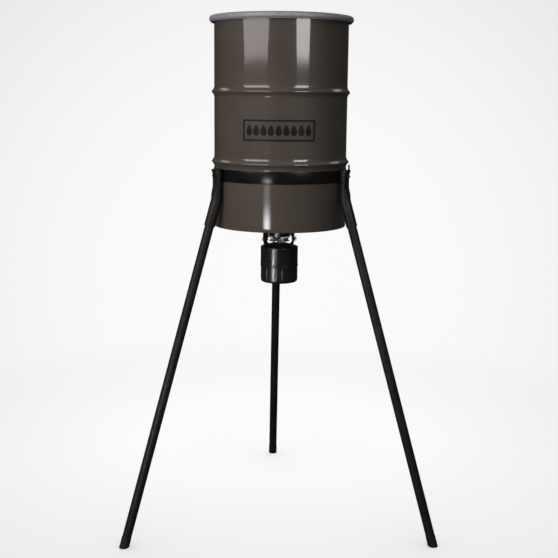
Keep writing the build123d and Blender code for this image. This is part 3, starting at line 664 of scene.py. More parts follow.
class FEEDER_OT_decal(bpy.types.Operator):
    """Plain printed decal: a square-cornered frame round a row of grain kernels"""
    bl_idname = "feeder.decal"
    bl_label = "Decal"

    def execute(self, context):
        drum = context.scene.feeder_drum
        low, high = corners("drum_label")
        ink_top = drum.radius + 0.00035
        ink_base = drum.radius - 0.0005
        start, end = (-math.acos((x - AXIS[0]) / (drum.radius + 0.0004)) for x in (low[0], high[0]))
        half_length = (end - start) / 2 * drum.radius
        half_height = (high[2] - low[2]) / 2
        centre_z = (high[2] + low[2]) / 2

        def on_drum(length, height, radius):
            """Wraps flat points round the drum: the angle gains length over the drum's radius."""
            angle = (start + end) / 2 + length / drum.radius
            x, y = radius * np.cos(angle), radius * np.sin(angle)
            return np.stack([x, y, centre_z + height + 0 * angle], -1) + AXIS

        def bar(x0, x1, z0, z1):
            """One side of the frame: a rectangle carried along the drum."""
            length = np.linspace(x0, x1, max(3, int(abs(x1 - x0) / 0.004)))[:, None] + np.zeros(4)
            height = np.zeros_like(length) + [z0, z1, z1, z0]
            radius = np.zeros_like(length) + [ink_base, ink_base, ink_top, ink_top]
            return surface("decal_bar", capped(on_drum(length, height, radius)), along=False)

        def kernel(x):
            """Outline of a grain: an ellipse whose upper end draws in to a blunt point."""
            t = np.linspace(0, TURN, 40, endpoint=False)
            wide = 0.0100 * np.sin(t) * (1 - 0.35 * np.cos(t))
            tall = 0.0175 * np.cos(t)
            share = np.array([0, 1, 1, 0])[:, None]
            radius = np.array([ink_top, ink_top, ink_base, ink_base])[:, None] + 0 * t
            return surface("decal_kernel", on_drum(x + wide * share, tall * share, radius), along=False)

        line, margin = 0.0062, 0.024
        wide, tall = half_length - line, half_height - line
        pieces = [bar(-half_length, half_length, tall, half_height),
                  bar(-half_length, half_length, -half_height, -tall),
                  bar(-half_length, -wide, -tall, tall),
                  bar(wide, half_length, -tall, tall)]
        row = half_length - margin
        pieces += [kernel(x) for x in np.linspace(-row, row, drum.kernels)]
        place(joined("decal_print", pieces), STAND, "drum_label", "label_ink", "decal_ink")
        return {"FINISHED"}


# ------------------------------------------------------------------ lid and closing ring

class FEEDER_OT_lid(bpy.types.Operator):
    """Pressed lid with a sunk panel, two stamped rings and a channel over the drum's curl"""
    bl_idname = "feeder.lid"
    bl_label = "Lid"

    def execute(self, context):
        low, top = low_z("lid"), high_z("lid") - LID_SHEET
        panel = low + 0.001
        plug = 0.2314
        skirt = half_width("lid") - LID_SHEET
        points = [(0.0, panel), (0.060, panel), (0.066, panel + 0.003), (0.088, panel + 0.003),
                  (0.094, panel), (0.185, panel), (0.190, panel + 0.0035), (0.199, panel + 0.0035),
                  (0.204, panel), (plug, panel), (plug, top), (skirt, top), (skirt, low)]
        radii = [0.006] * 4 + [0.005] * 4 + [0.003, 0.001, 0.001]
        sheet = lathe("lid_sheet", thickened(bent(points, radii, 6), LID_SHEET), segments=256)
        place(sheet, "lid", "lid", "drum_paint", "drum_enamel")
        return {"FINISHED"}


class FEEDER_OT_closing_ring(bpy.types.Operator):
    """Rolled channel that clamps the lid, split at the back, with its ears, lever and pin"""
    bl_idname = "feeder.closing_ring"
    bl_label = "Closing ring"

    def execute(self, context):
        low, high = low_z("locking_ring"), high_z("locking_ring")
        outer = half_width("locking_ring")
        path = bent([(0.244, low), (outer, low), (outer, high), (0.238, high)], [0.0075, 0.009], 12)
        outline = thickened(finer(path, 0.004), RING_SHEET)
        ring = strip("ring_channel", outline, 94.0, 446.0, 300)
        place(ring, "lid", "locking_ring", "ring_steel", "dull_zinc")
        lever_low, lever_high = low_z("ring_lever"), high_z("ring_lever")
        blade = slab(0.2557, 0.2583, lever_low, lever_high, 0.0009, 4)
        barrel = slab(0.0021, 0.005, lever_low, lever_high, 0.0005, 4)
        pin = AXIS + LEVER_PIN * outward(LEVER_ANGLE)

        def flare(angle):
            """Eases the last few degrees of the handle away from the ring."""
            return 0.0045 * smooth((np.degrees(angle) - 107) / 5)

        arm = strip("lever_arm", blade, LEVER_ANGLE + 1.2, LEVER_ANGLE + 32.0, 60, lift=flare)
        eye = lathe("lever_eye", barrel, centre=pin, segments=40)
        place(joined("lever_handle", [arm, eye]), "lever", "ring_lever", "ring_steel", "dull_zinc")
        for node in ("ring_end_brackets", "lever_pin"):
            keep(node, "dull_zinc")
        return {"FINISHED"}


# ------------------------------------------------------------------ tripod

class FEEDER_OT_brackets(bpy.types.Operator):
    """Bent socket tubes, flattened round their bolts"""
    bl_idname = "feeder.brackets"
    bl_label = "Leg brackets"

    def execute(self, context):
        stand = context.scene.feeder_stand
        for side, angle in LEGS.items():
            tube = self.socket(stand, side, angle)
            if side == "right":
                tube = joined("socket_tube_right", [tube, self.tab(angle)])
            place(tube, STAND, f"leg_bracket_{side}", "tripod_paint", "powder_coat")
        return {"FINISHED"}

    def tab(self, angle):
        """Hook tab above the right socket: a rounded section carried up, its top corners drawn in."""
        root, top = high_z("leg_bracket_rear") - 0.005, high_z("leg_bracket_right")
        height = np.append(np.linspace(root, top - 0.003, 6), [top - 0.001, top])
        draw = np.clip((height - top + 0.003) / 0.003, 0, 1)[:, None]
        section = slab(0.2663, 0.2688, -0.0055, 0.0055, 0.0007, 4)
        x = section[:, 0] + 0 * draw
        y = section[:, 1] * (1 - 0.35 * draw ** 2)
        grid = np.stack([x, y, height[:, None] + 0 * x], -1)
        return surface("socket_tab", turned_to(capped(grid), angle), along=False)

    def socket(self, stand, side, angle):
        """Round tube along a bent path. Its outward side is x = soft minimum of r cos a and a flat
        that sinks below r by the press depth, fading to nothing towards the bend."""
        low, top = low_z("leg_bracket_rear"), high_z("leg_bracket_rear")
        bend = stand.socket_bend
        reach = (bend - low - 0.0005 - stand.socket_radius * math.sin(stand.slope)) / math.cos(stand.slope)
        corner = np.array([SOCKET_CENTRE, bend])
        down = np.array([math.sin(stand.slope), -math.cos(stand.slope)])
        line = [(SOCKET_CENTRE, top), corner, corner + down * reach]
        path = finer(bent(line, stand.socket_bend_radius, 10), 0.004)
        along = np.gradient(path, axis=0)
        along = along / np.linalg.norm(along, axis=1)[:, None]
        normal = np.stack([-along[:, 1], along[:, 0]], 1)
        height = path[:, 1]
        push = smooth((height - bend - 0.004) / 0.042)
        push = push * (1 - 0.55 * smooth((height - top + 0.022) / 0.022))
        flat = stand.socket_radius - stand.press_depth * push
        a = np.linspace(0, TURN, 72, endpoint=False)[None, :]

        def skin(radius, limit, blend=0.0014):
            """Rings of one radius, with the outward side held to the limit over a soft step."""
            x, y = radius * np.cos(a), radius * np.sin(a)
            sunk = limit[:, None] - 0.0022 * push[:, None] * np.cos(np.clip(y / radius, -1, 1) * 1.4)
            gap = np.clip(0.5 + (x - sunk) / (2 * blend), 0, 1)
            soft = x * (1 - gap) + sunk * gap - blend * gap * (1 - gap)
            soft = np.where(push[:, None] > 1e-6, soft, x + 0 * soft)
            x = x * (1 - smooth(push[:, None] * 8)) + soft * smooth(push[:, None] * 8)
            y = y * (1 + 0.035 * push[:, None]) + 0 * x
            rz = path[:, None, :] + x[..., None] * normal[:, None, :]
            return np.stack([rz[..., 0], y, rz[..., 1]], -1)

        outer = skin(stand.socket_radius, flat)
        inner = skin(stand.socket_radius - SOCKET_WALL, flat - SOCKET_WALL)
        lip_top, lip_end = (outer[:1] + inner[:1]) / 2, (outer[-1:] + inner[-1:]) / 2
        grid = np.concatenate([outer, lip_end, inner[::-1], lip_top])
        return surface(f"socket_tube_{side}", turned_to(grid, angle))


def turned_to(grid, angle):
    """Turns points made in the plane of angle zero round the drum's axis, to an angle in degrees."""
    a = math.radians(angle)
    x, y, z = grid[..., 0], grid[..., 1], grid[..., 2]
    level = [x * math.cos(a) - y * math.sin(a), x * math.sin(a) + y * math.cos(a)]
    return np.stack([*level, z], -1) + AXIS


def leg_line(stand, angle):
    """Origin and direction of a leg's centre line, which starts at the bracket's bend."""
    origin = AXIS + SOCKET_CENTRE * outward(angle) + [0, 0, stand.socket_bend]
    direction = outward(angle) * math.sin(stand.slope) + np.array([0, 0, -math.cos(stand.slope)])
    return origin, direction


def along_leg(stand, z, edge=0.0):
    """Distance down a leg at which its edge, `edge` off the centre line, is at a height."""
    return (stand.socket_bend - z - edge * math.sin(stand.slope)) / math.cos(stand.slope)


class FEEDER_OT_legs(bpy.types.Operator):
    """Two plug-together tubes and a rubber foot for each leg"""
    bl_idname = "feeder.legs"
    bl_label = "Legs and feet"

    def execute(self, context):
        stand = context.scene.feeder_stand
        for side, angle in LEGS.items():
            upper, lower, foot = (make(stand, side, angle) for make in (self.upper, self.lower, self.foot))
            place(upper, STAND, f"upper_leg_{side}", "tripod_paint", "powder_coat")
            place(lower, STAND, f"lower_leg_{side}", "tripod_paint", "powder_coat")
            place(foot, STAND, f"foot_cap_{side}", "black_rubber", "foot_rubber")
        return {"FINISHED"}

    def upper(self, stand, side, angle):
        """Plain tube, cut square at both ends."""
        r, wall = stand.tube_radius, stand.tube_wall
        start = along_leg(stand, high_z("upper_leg_rear"), -r)
        end = along_leg(stand, low_z("upper_leg_rear"), r)
        outline = slab(r - wall, r, start, end, [0.0004, 0.0006, 0.0007, 0.0004])
        origin, direction = leg_line(stand, angle)
        return surface(f"upper_tube_{side}", spun(finer(outline, 0.06), origin, direction, 56))

    def lower(self, stand, side, angle):
        """Tube with a reduced neck that plugs into the upper one: its outline steps in at the joint."""
        r, wall = stand.tube_radius, stand.tube_wall
        neck = 0.0142
        joint = along_leg(stand, low_z("upper_leg_rear"), r)
        start = along_leg(stand, high_z("lower_leg_rear"), -neck)
        end = along_leg(stand, low_z("lower_leg_rear"), r)
        points = [(neck - wall, start), (neck, start), (neck, joint), (r, joint), (r, end),
                  (r - wall, end), (r - wall, joint + 0.003), (neck - wall, joint + 0.001)]
        outline = loop(points, [0.0003, 0.0005, 0.0003, 0.0008, 0.0005, 0.0005, 0.0008, 0.0008])
        origin, direction = leg_line(stand, angle)
        return surface(f"lower_tube_{side}", spun(finer(outline, 0.06), origin, direction, 56))

    def foot(self, stand, side, angle):
        """Rubber cup with a shallow groove near its top. Below that every line of its side runs on
        down the leg to the ground, and bends inwards through a fillet to a level sole."""
        origin, direction = leg_line(stand, angle)
        r, cup = stand.tube_radius, 0.0168
        bore_end = along_leg(stand, low_z("lower_leg_rear"), r)
        start = along_leg(stand, high_z("foot_cap_rear"), -cup)
        bore, groove = r + 0.0001, cup - 0.0003
        mouth = [(0.0, bore_end), (bore, bore_end), (bore, start + 0.0003), (r + 0.0003, start),
                 (groove, start), (cup, start + 0.0004), (cup, start + 0.005),
                 (groove, start + 0.0055), (groove, start + 0.0065), (cup, start + 0.007)]
        upper = spun(np.array(mouth), origin, direction, 56)
        side_top = upper[-1:]
        drop = side_top[..., 2:3] / -direction[2]
        t = np.linspace(0.15, 1, 8)[:, None, None]
        fillet = 0.0030
        straight = side_top + direction * (drop - fillet / -direction[2]) * t
        ground = side_top + direction * drop
        centre = ground.mean(axis=1, keepdims=True)
        inwards = (centre - ground) / np.linalg.norm(centre - ground, axis=2, keepdims=True)
        s = np.linspace(0, math.pi / 2, 6)[1:, None, None]
        bend = ground + inwards * fillet * (1 - np.cos(s)) + np.array([0, 0, fillet]) * (1 - np.sin(s))
        sole = np.concatenate([(bend[-1:] + centre) / 2, centre + 0 * bend[-1:]])
        grid = np.concatenate([upper, straight, bend, sole])
        return surface(f"foot_cup_{side}", grid, along=False)


class FEEDER_OT_straps(bpy.types.Operator):
    """Three steel straps round the drum, each lapped over the next under a bracket"""
    bl_idname = "feeder.straps"
    bl_label = "Support straps"

    def execute(self, context):
        drum = context.scene.feeder_drum
        low, high = low_z("support_band_front"), high_z("support_band_front")
        inner = drum.radius + 0.0001
        outer = inner + BAND_SHEET
        outline = slab(inner, outer, low, high, [0.0002, 0.0006, 0.0006, 0.0002])
        lap = 4.0
        for name, leg in BANDS.items():
            start = LEGS[leg] - lap
            end = LEGS[leg] + 120 + lap

            def joggle(angle, end=end):
                """Lifts the strap's end by its own thickness over the next one."""
                return BAND_SHEET * smooth((np.degrees(angle) - end + 2 * lap + 1.2) / 1.2)

            strap = strip(f"strap_{name}", outline, start, end, 240, lift=joggle)
            place(strap, STAND, f"support_band_{name}", "tripod_paint", "strap_enamel")
        return {"FINISHED"}


class FEEDER_OT_bolts(bpy.types.Operator):
    """Bracket bolts and nuts: domed heads inside, chamfered hexagons on washers outside"""
    bl_idname = "feeder.bolts"
    bl_label = "Bracket bolts"

    def execute(self, context):
        origin = AXIS + [0, 0, float(middle("bracket_bolts")[2])]
        shank = np.array([(0.0, BOLT_HEAD), (0.0045, BOLT_HEAD + 0.0003), (0.0070, BOLT_HEAD + 0.0019),
                          (0.0075, BOLT_HEAD + 0.0029), (0.0040, BOLT_HEAD + 0.0029),
                          (0.0040, NUT_SEAT + 0.0088), (0.0034, NUT_SEAT + 0.0095),
                          (0.0, NUT_SEAT + 0.0095)])
        washer = slab(0.0041, 0.0078, 0.0, 0.0012, 0.0003)
        bolts, nuts = [], []
        for angle in LEGS.values():
            direction = outward(angle)
            bolts.append(surface("bolt", spun(shank, origin, direction, 32), along=False))
            nut_face = origin + direction * (NUT_SEAT + 0.0013)
            nuts.append(hexagon_nut(nut_face, direction, 0.0065, 0.0052, 0.0040))
            nuts.append(surface("washer", spun(washer, origin + direction * NUT_SEAT, direction, 36)))
        place(joined("bracket_bolt_set", bolts), STAND, "bracket_bolts", "tripod_paint", "powder_coat")
        place(joined("bracket_nut_set", nuts), STAND, "bracket_nuts", "tripod_paint", "powder_coat")
        return {"FINISHED"}


def hexagon_nut(origin, direction, across, height, bore):
    """Hexagon: its radius is the flat's distance over the cosine of the angle from the flat's
    middle, cut by a round chamfer at both faces."""
    angle = np.linspace(0, TURN, 72, endpoint=False)
    hexagon = across / np.cos((angle + math.pi / 6) % (math.pi / 3) - math.pi / 6)
    face, belly = np.minimum(hexagon, across * 1.02), np.minimum(hexagon, across * 1.15)
    hole = np.full(72, bore)
    rows = [(hole, 0.0), (face, 0.0), (belly, 0.0006), (belly, height - 0.0006), (face, height),
            (hole, height)]
    radius = np.stack([row for row, _ in rows])
    depth = np.array([d for _, d in rows])[:, None] + 0 * radius
    side, up = np.cross(direction, [0.0, 0.0, 1.0]), np.array([0.0, 0.0, 1.0])
    grid = (origin + direction * depth[..., None] + side * (radius * np.cos(angle))[..., None]
            + up * (radius * np.sin(angle))[..., None])
    return surface("nut", grid)


# ------------------------------------------------------------------ spinner unit

class FEEDER_OT_funnel(bpy.types.Operator):
    """Galvanised funnel: cone in the drum, foot ring on the head, and the outlet with a rolled rim"""
    bl_idname = "feeder.funnel"
    bl_label = "Feed funnel"

    def execute(self, context):
        low, high = low_z("feed_funnel"), high_z("feed_funnel")
        rim = half_width("feed_funnel")
        head = high_z("drum_bottom_head")
        throat = high - 0.012 - (rim - SPOUT) * math.tan(math.radians(35))
        t = np.linspace(-math.pi / 2, 3 * math.pi / 4, 10)
        roll_radius = 0.0013
        roll = np.stack([SPOUT + 0.0003 + roll_radius * np.cos(t),
                         low + roll_radius + roll_radius * np.sin(t)], 1)
        path = bent([(rim, high), (rim, high - 0.012), (SPOUT, throat), (SPOUT, low + 0.0035)],
                    [0.004, 0.006], 8)
        cone = lathe("funnel_cone", thickened(finer(path, 0.02), -FUNNEL_SHEET), segments=128)
        bead = lathe("funnel_bead", loop(roll, 0.0), segments=128)
        flange = slab(SPOUT, 0.075, head, head + FUNNEL_SHEET, 0.0004)
        foot = lathe("funnel_foot", flange, segments=96)
        place(joined("funnel_sheet", [cone, bead, foot]), STAND, "feed_funnel", "zinc_plate", "worn_zinc_painted_shade")
        return {"FINISHED"}


class FEEDER_OT_housing(bpy.types.Operator):
    """Domed housing with a round shoulder, a fine mould seam and a spigot for the cap"""
    bl_idname = "feeder.housing"
    bl_label = "Housing"

    def execute(self, context):
        low, top = low_z("housing_shell"), high_z("housing_shell")
        outer = half_width("housing_shell")
        shoulder, skirt = top - 0.013, low + 0.014
        seal = float(middle("housing_seal")[2])
        spigot, spigot_inner, bore, crown = 0.0639, 0.0612, 0.005, 0.022
        groove, groove_low, groove_high = spigot - 0.0012, seal - 0.0015, seal + 0.0015
        inner = outer - HOUSING_WALL
        outside = bent([(bore, top), (crown, top), (outer, shoulder), (outer, skirt), (spigot, skirt),
                        (spigot, groove_high), (groove, groove_high), (groove, groove_low),
                        (spigot, groove_low), (spigot, low), (spigot_inner, low)],
                       [0.030, 0.004, 0.0008, 0.0004, 0.0002, 0.0002, 0.0002, 0.0002, 0.0006], 8)
        inside = bent([(spigot_inner, low), (spigot_inner, skirt + 0.006), (inner, skirt + 0.006),
                       (inner, shoulder - 0.0015), (crown, top - HOUSING_WALL),
                       (bore, top - HOUSING_WALL)], [0.0004, 0.0004, 0.002, 0.02], 6)
        outline = np.vstack([finer(outside, 0.006), finer(inside, 0.01)[1:]])

        def seam(angle, r, z):
            """A mould line on two opposite sides, only on the outer skin above the skirt."""
            away = np.abs((angle - math.radians(-85) + math.pi / 2) % math.pi - math.pi / 2)
            skin = (r > inner + 0.0008) | (z > top - 0.0018 - np.clip(r - crown, 0, 1) * 0.29)
            return 0.00035 * np.exp(-(away / 0.010) ** 2) * skin * smooth((z - skirt - 0.004) / 0.004)

        shell = lathe("housing_moulding", outline, segments=360, ripple=seam)
        place(shell, STAND, "housing_shell", "housing_plastic", "housing_plastic")
        return {"FINISHED"}


class FEEDER_OT_cap(bpy.types.Operator):
    """Twist-off cap: a cup with a round base, a gripping lip and upright ribs"""
    bl_idname = "feeder.cap"
    bl_label = "Cap"

    def execute(self, context):
        unit = context.scene.feeder_unit
        low, high = low_z("housing_cap"), high_z("housing_cap")
        lip = half_width("housing_cap")
        body = lip - 0.002
        inner = body - CAP_WALL
        outside = bent([(0.0, low + 0.0012), (0.030, low + 0.0012), (0.032, low), (body, low),
                        (body, high - 0.007), (lip, high - 0.006), (lip, high), (inner, high)],
                       [0.0015, 0.0015, 0.008, 0.0008, 0.0008, 0.0008], 8)
        inside = bent([(inner, high), (inner, low + 0.0025), (0.0, low + 0.0025)], 0.006, 6)
        outline = np.vstack([finer(outside, 0.003), finer(inside, 0.01)[1:]])
        rib_low, rib_high = low + 0.007, high - 0.0085

        def ribs(angle, r, z):
            """Narrow ribs where the cosine of n times the angle, set half a rib on from the front,
            is near one. They have rounded ends and stand on the outer skin only."""
            wave = np.cos(unit.ribs * (angle + math.pi / 2) + math.pi)
            rib = smooth((wave - 0.72) / 0.25)
            ends = smooth((z - rib_low) / 0.004) * smooth((rib_high - z) / 0.003)
            return unit.rib_proud * rib * ends * (r > body - 0.0012)

        cup = lathe("cap_moulding", outline, segments=480, ripple=ribs, along=False)
        place(cup, "cap", "housing_cap", "housing_plastic", "housing_plastic")
        return {"FINISHED"}


class FEEDER_OT_spinner(bpy.types.Operator):
    """Spinner plate with four upturned vanes on its hub"""
    bl_idname = "feeder.spinner"
    bl_label = "Spinner"

    def execute(self, context):
        low, high = low_z("spinner_plate"), high_z("spinner_plate")
        edge = half_width("spinner_plate")
        flat = slab(0.006, edge, low, low + PLATE_SHEET, 0.0004)
        pieces = [lathe("plate_disc", flat, segments=120)]
        for angle in VANES:
            pieces.append(self.vane(angle, low + PLATE_SHEET / 2, high, edge - 0.0006))
        place(joined("spinner_sheet", pieces), "spinner", "spinner_plate", "zinc_plate", "bright_zinc")
        for node in ("spinner_hub", "hub_set_screw", "motor_shaft"):
            keep(node, "bright_zinc")
        return {"FINISHED"}

    def vane(self, angle, low, high, edge):
        """Upright tab along a radius, its height easing up from the hub and its top rounded."""
        r = np.linspace(0.012, edge, 24)[:, None]
        top = low + (high - low) * (0.35 + 0.65 * smooth((r - 0.012) / 0.010))
        half = PLATE_SHEET / 2
        across = np.array([-half, -half, -half * 0.6, half * 0.6, half, half])[None, :]
        z = np.concatenate([low + 0 * r, top - 0.0005, top, top, top - 0.0005, low + 0 * r], 1)
        local = np.stack([r + 0 * across, across + 0 * r, z], -1)
        return surface("plate_vane", capped(turned_to(local, angle)), along=False)


class FEEDER_OT_hanger_nuts(bpy.types.Operator):
    """A plain nut inside the left post and a wing nut outside the right ear"""
    bl_idname = "feeder.hanger_nuts"
    bl_label = "Hanger nuts"

    def execute(self, context):
        centre = AXIS + [0, 0, float(middle("hanger_bolts")[2])]
        left, right = outward(HANGERS["left"]), outward(HANGERS["right"])
        seat = centre + left * HANGER_SEATS["left"]
        pieces = [hexagon_nut(seat, left, 0.0040, 0.0035, 0.0026)]
        seat = centre + right * HANGER_SEATS["right"]
        boss = loop([(0.0026, 0.0), (0.0048, 0.0), (0.0040, 0.0050), (0.0026, 0.0050)],
                    [0.0003, 0.0005, 0.0007, 0.0003])
        pieces.append(surface("wing_boss", spun(boss, seat, right, 36)))
        for way in (-1.0, 1.0):
            pieces.append(self.wing(seat, right, np.array([0.0, 0.0, way])))
        place(joined("hanger_nut_set", pieces), STAND, "hanger_nuts", "zinc_plate", "bright_zinc")
        return {"FINISHED"}

    def wing(self, origin, direction, up):
        """A flat ear: ellipses carried up and outwards, their width an arc of a circle that is
        narrow at the boss, wide half way and closed at the tip."""
        t = np.linspace(0, 1, 14)[:, None]
        reach = 0.0022 + 0.0080 * t
        width = 0.0046 * np.sqrt(np.clip(1 - ((t - 0.45) / 0.56) ** 2, 0.03, 1))
        thick = 0.0011 + 0.0004 * (1 - t)
        a = np.linspace(0, TURN, 24, endpoint=False)[None, :]
        lean = 0.0020 + 0.0062 * t
        side = np.cross(direction, up)
        grid = (origin + up * (reach + 0 * a)[..., None]
                + direction * (lean + thick * np.cos(a))[..., None]
                + side * (width * np.sin(a))[..., None])
        return surface("wing", capped(grid), along=False)


class FEEDER_OT_small_parts(bpy.types.Operator):
    """Finishes for the frame nodes whose own shape is right"""
    bl_idname = "feeder.small_parts"
    bl_label = "Small parts"

    def execute(self, context):
        wanted = {
            "powder_coat": ["hanger_flange"],
            "housing_plastic": ["hanger_post_left", "hanger_post_right"],
            "bright_zinc": ["flange_screws", "flange_nuts", "post_screws", "hanger_bolts", "motor_can",
                            "motor_screws", "chassis_screws", "timer_screws", "battery_terminals"],
            "seal_rubber": ["lid_gasket", "housing_seal"],
            "grey_moulding": ["chassis", "timer_faceplate"],
            "button_moulding": ["timer_button_down", "timer_button_set", "timer_button_up"],
            "battery_case": ["battery"],
            "circuit_green": ["timer_board"],
            "display_glass": ["lcd_panel"],
            "clear_window": ["lcd_window"],
            "webbing": ["battery_strap"],
            "wire_cover": ["motor_leads", "battery_leads"],
        }
        for finish, nodes in wanted.items():
            for node in nodes:
                keep(node, finish)
        return {"FINISHED"}


class FEEDER_OT_finishes(bpy.types.Operator):
    """Every material, made once before the pieces that use it"""
    bl_idname = "feeder.finishes"
    bl_label = "Finishes"

    def execute(self, context):
        scene = context.scene
        drum_enamel(tuple(scene.feeder_drum.paint))
        powder_coat(tuple(scene.feeder_stand.paint))
        strap_enamel(tuple(scene.feeder_stand.paint))
        housing_plastic(tuple(scene.feeder_unit.plastic))
        dull_zinc(tuple(scene.feeder_unit.ring))
        bright_zinc(tuple(scene.feeder_unit.zinc))
        worn_zinc_painted_shade(tuple(scene.feeder_unit.zinc))
        rubber("foot_rubber", (0.0065, 0.0062, 0.0060))
        rubber("seal_rubber", (0.015, 0.015, 0.015))
        printed_ink(tuple(scene.feeder_drum.ink))
        moulded("grey_moulding", (0.10, 0.10, 0.10))
        moulded("button_moulding", (0.35, 0.35, 0.34))
        moulded("battery_case", (0.025, 0.025, 0.03))
        moulded("wire_cover", (0.25, 0.02, 0.02))
        moulded("display_glass", (0.28, 0.33, 0.25), 0.35)
        circuit_green((0.02, 0.12, 0.05))
        webbing((0.02, 0.02, 0.02))
        clear_window()
        return {"FINISHED"}


# ------------------------------------------------------------------ studio

class FEEDER_OT_stage(bpy.types.Operator):
    """Pale floor, soft boxes, surroundings and the camera"""
    bl_idname = "feeder.stage"
    bl_label = "Studio"

    def execute(self, context):
        studio = context.scene.feeder_studio
        floor = self.floor(studio)
        self.surroundings(context.scene, studio)
        self.lights(studio, floor)
        self.camera(context.scene, studio)
        context.scene.view_settings.view_transform = "Standard"
        return {"FINISHED"}

    def floor(self, studio):
        """A flat disc whose outer part fades out, so that it meets the surroundings without an edge.
        Its own glow is strongest behind the feeder and falls off with the distance from there."""
        rings = np.array([(radius, 0.0) for radius in (0.0, 1.0, 2.0, 4.0, 7.0, 9.0)])
        piece = lathe("studio_floor", rings, centre=np.array([0, 0, -0.0002]), segments=96, along=False)
        made = Finish("floor_paint", tuple(studio.floor), 0.9)
        made.mottle(0.7, 0.995, 1.005)
        length = made.tree.nodes.new("ShaderNodeVectorMath")
        length.operation = "LENGTH"
        made.link(made.place.outputs["Object"], length.inputs[0])
        behind = made.tree.nodes.new("ShaderNodeVectorMath")
        behind.operation = "DISTANCE"
        behind.inputs[1].default_value = (0, 0.7, 0)
        made.link(made.place.outputs["Object"], behind.inputs[0])
        fade = made.spread(length.outputs["Value"], 1, 0, 0.9, 2.6)
        made.link(fade, made.shader.inputs["Alpha"])
        brightest, dimmest = studio.floor_glow, studio.floor_glow - 0.14
        glow = made.spread(behind.outputs["Value"], brightest, dimmest, 0.6, 1.7)
        made.link(glow, made.shader.inputs["Emission Strength"])
        made.set("Specular IOR Level", 0.0)
        made.set("Emission Color", (1, 1, 1, 1))
        piece.data.materials.append(made.material)
        piece.visible_glossy = False
        piece.visible_diffuse = False
        return piece

    def surroundings(self, scene, studio):
        """A white surround for the camera, brighter straight ahead. Matt surfaces get a soft light
        that is dimmer from below, and glossy ones see a dark studio with a pale wall behind."""
        world = bpy.data.worlds.new("studio_surround")
        scene.world = world
        world.use_nodes = True
        tree = world.node_tree
        rays = tree.nodes.new("ShaderNodeLightPath")
        place = tree.nodes.new("ShaderNodeTexCoord")
        split = tree.nodes.new("ShaderNodeSeparateXYZ")
        tree.links.new(place.outputs["Generated"], split.inputs["Vector"])

        def choose(test, yes, no):
            """Takes one value for a kind of ray and another for the rest."""
            node = tree.nodes.new("ShaderNodeMix")
            tree.links.new(test, node.inputs["Factor"])
            tree.links.new(no, node.inputs["A"])
            tree.links.new(yes, node.inputs["B"])
            return node.outputs["Result"]

        tilted = Vector((0, math.cos(studio.pitch), -math.sin(studio.pitch)))
        toward = tree.nodes.new("ShaderNodeVectorMath")
        toward.operation = "DOT_PRODUCT"
        toward.inputs[1].default_value = Matrix.Rotation(studio.turn, 3, "Z") @ tilted
        tree.links.new(place.outputs["Generated"], toward.inputs[0])
        matt = eased(tree, split.outputs["Z"], -0.4, 0.6, 0.10, 0.63)
        glossy = eased(tree, split.outputs["Y"], 0.975, 0.998, 0.028, 0.75)
        paper = eased(tree, toward.outputs["Value"], 0.90, 1.01, 0.79, 0.965)
        lit = choose(rays.outputs["Is Glossy Ray"], glossy, matt)
        seen = choose(rays.outputs["Is Camera Ray"], paper, lit)
        tree.links.new(seen, tree.nodes["Background"].inputs["Color"])

    def lights(self, studio, floor):
        """Soft area lights that shape the object, and glowing panels that it mirrors."""
        facing = math.degrees(studio.turn) - 90
        # Each fill's name, turn from the camera, distance, height, size and power
        fills = [("fill_left", -38.0, 3.0, 1.2, 1.6, studio.fill),
                 ("fill_top", -15.0, 2.4, 3.0, 1.2, studio.fill_top)]
        for name, turn, distance, height, size, power in fills:
            light = bpy.data.lights.new(name, "AREA")
            light.size = size
            light.energy = power
            source = bpy.data.objects.new(name, light)
            spot = AXIS + distance * outward(facing + turn) + [0, 0, height]
            aim = (Vector(AXIS + [0, 0, 1.4]) - Vector(spot)).to_track_quat("-Z", "Y")
            source.matrix_world = Matrix.Translation(spot) @ aim.to_matrix().to_4x4()
            source.visible_camera = False
            source.visible_glossy = False
            bpy.context.scene.collection.objects.link(source)
            self.spare(source, [floor])
        # Each panel's outline as heights and half widths
        wide = [(1.60, 0.86), (1.98, 1.07), (3.3, 1.07)]
        slim = [(1.60, 0.42), (1.98, 0.54), (3.3, 0.54)]
        short = [(0.70, 0.34), (1.34, 0.34)]
        small = [(0.30, 0.22), (0.68, 0.22)]
        high = [(2.5, 0.40), (3.6, 0.60)]
        warm, cool = (1.0, 0.93, 0.93), (0.96, 0.96, 1.0)
        self.panel("box_left", facing - 41.8, 2.6, wide, studio.box_left, warm,
                   [(0.95, 1.705, 1.79, 9, 10), (0.05, 1.58, 1.72, 9, 10), (0.60, 2.1, 2.6, 9, 10)])
        self.panel("box_right", facing + 35.2, 2.6, slim, studio.box_right, (1.0, 0.97, 0.96),
                   [(0.93, 1.69, 1.80, 9, 10), (0.07, 1.56, 1.74, 9, 10)])
        self.panel("strip_low", facing - 20.8, 2.4, short, studio.strip_low, cool,
                   [(0.88, 0.74, 0.83, 0.84, 0.96), (0.12, 0.74, 0.83, 0.98, 1.30)], soft=True)
        unit = self.panel("strip_unit", facing - 36.0, 2.4, small, studio.strip_unit, (1.0, 0.96, 0.92),
                          [(0.4, 0.30, 0.38, 0.60, 0.66), (0.6, 0.46, 0.51, 0.60, 0.66)], soft=True)
        above = ("drum_shell_sheet", "drum_head_sheet", "strap_front")
        self.spare(unit, [bpy.data.objects[name] for name in above])
        for side in (-1, 1):
            self.panel("box_high", facing + side * 124.0, 2.6, high, studio.box_high, warm,
                       [(1.0, 2.5, 2.8, 9, 10)])

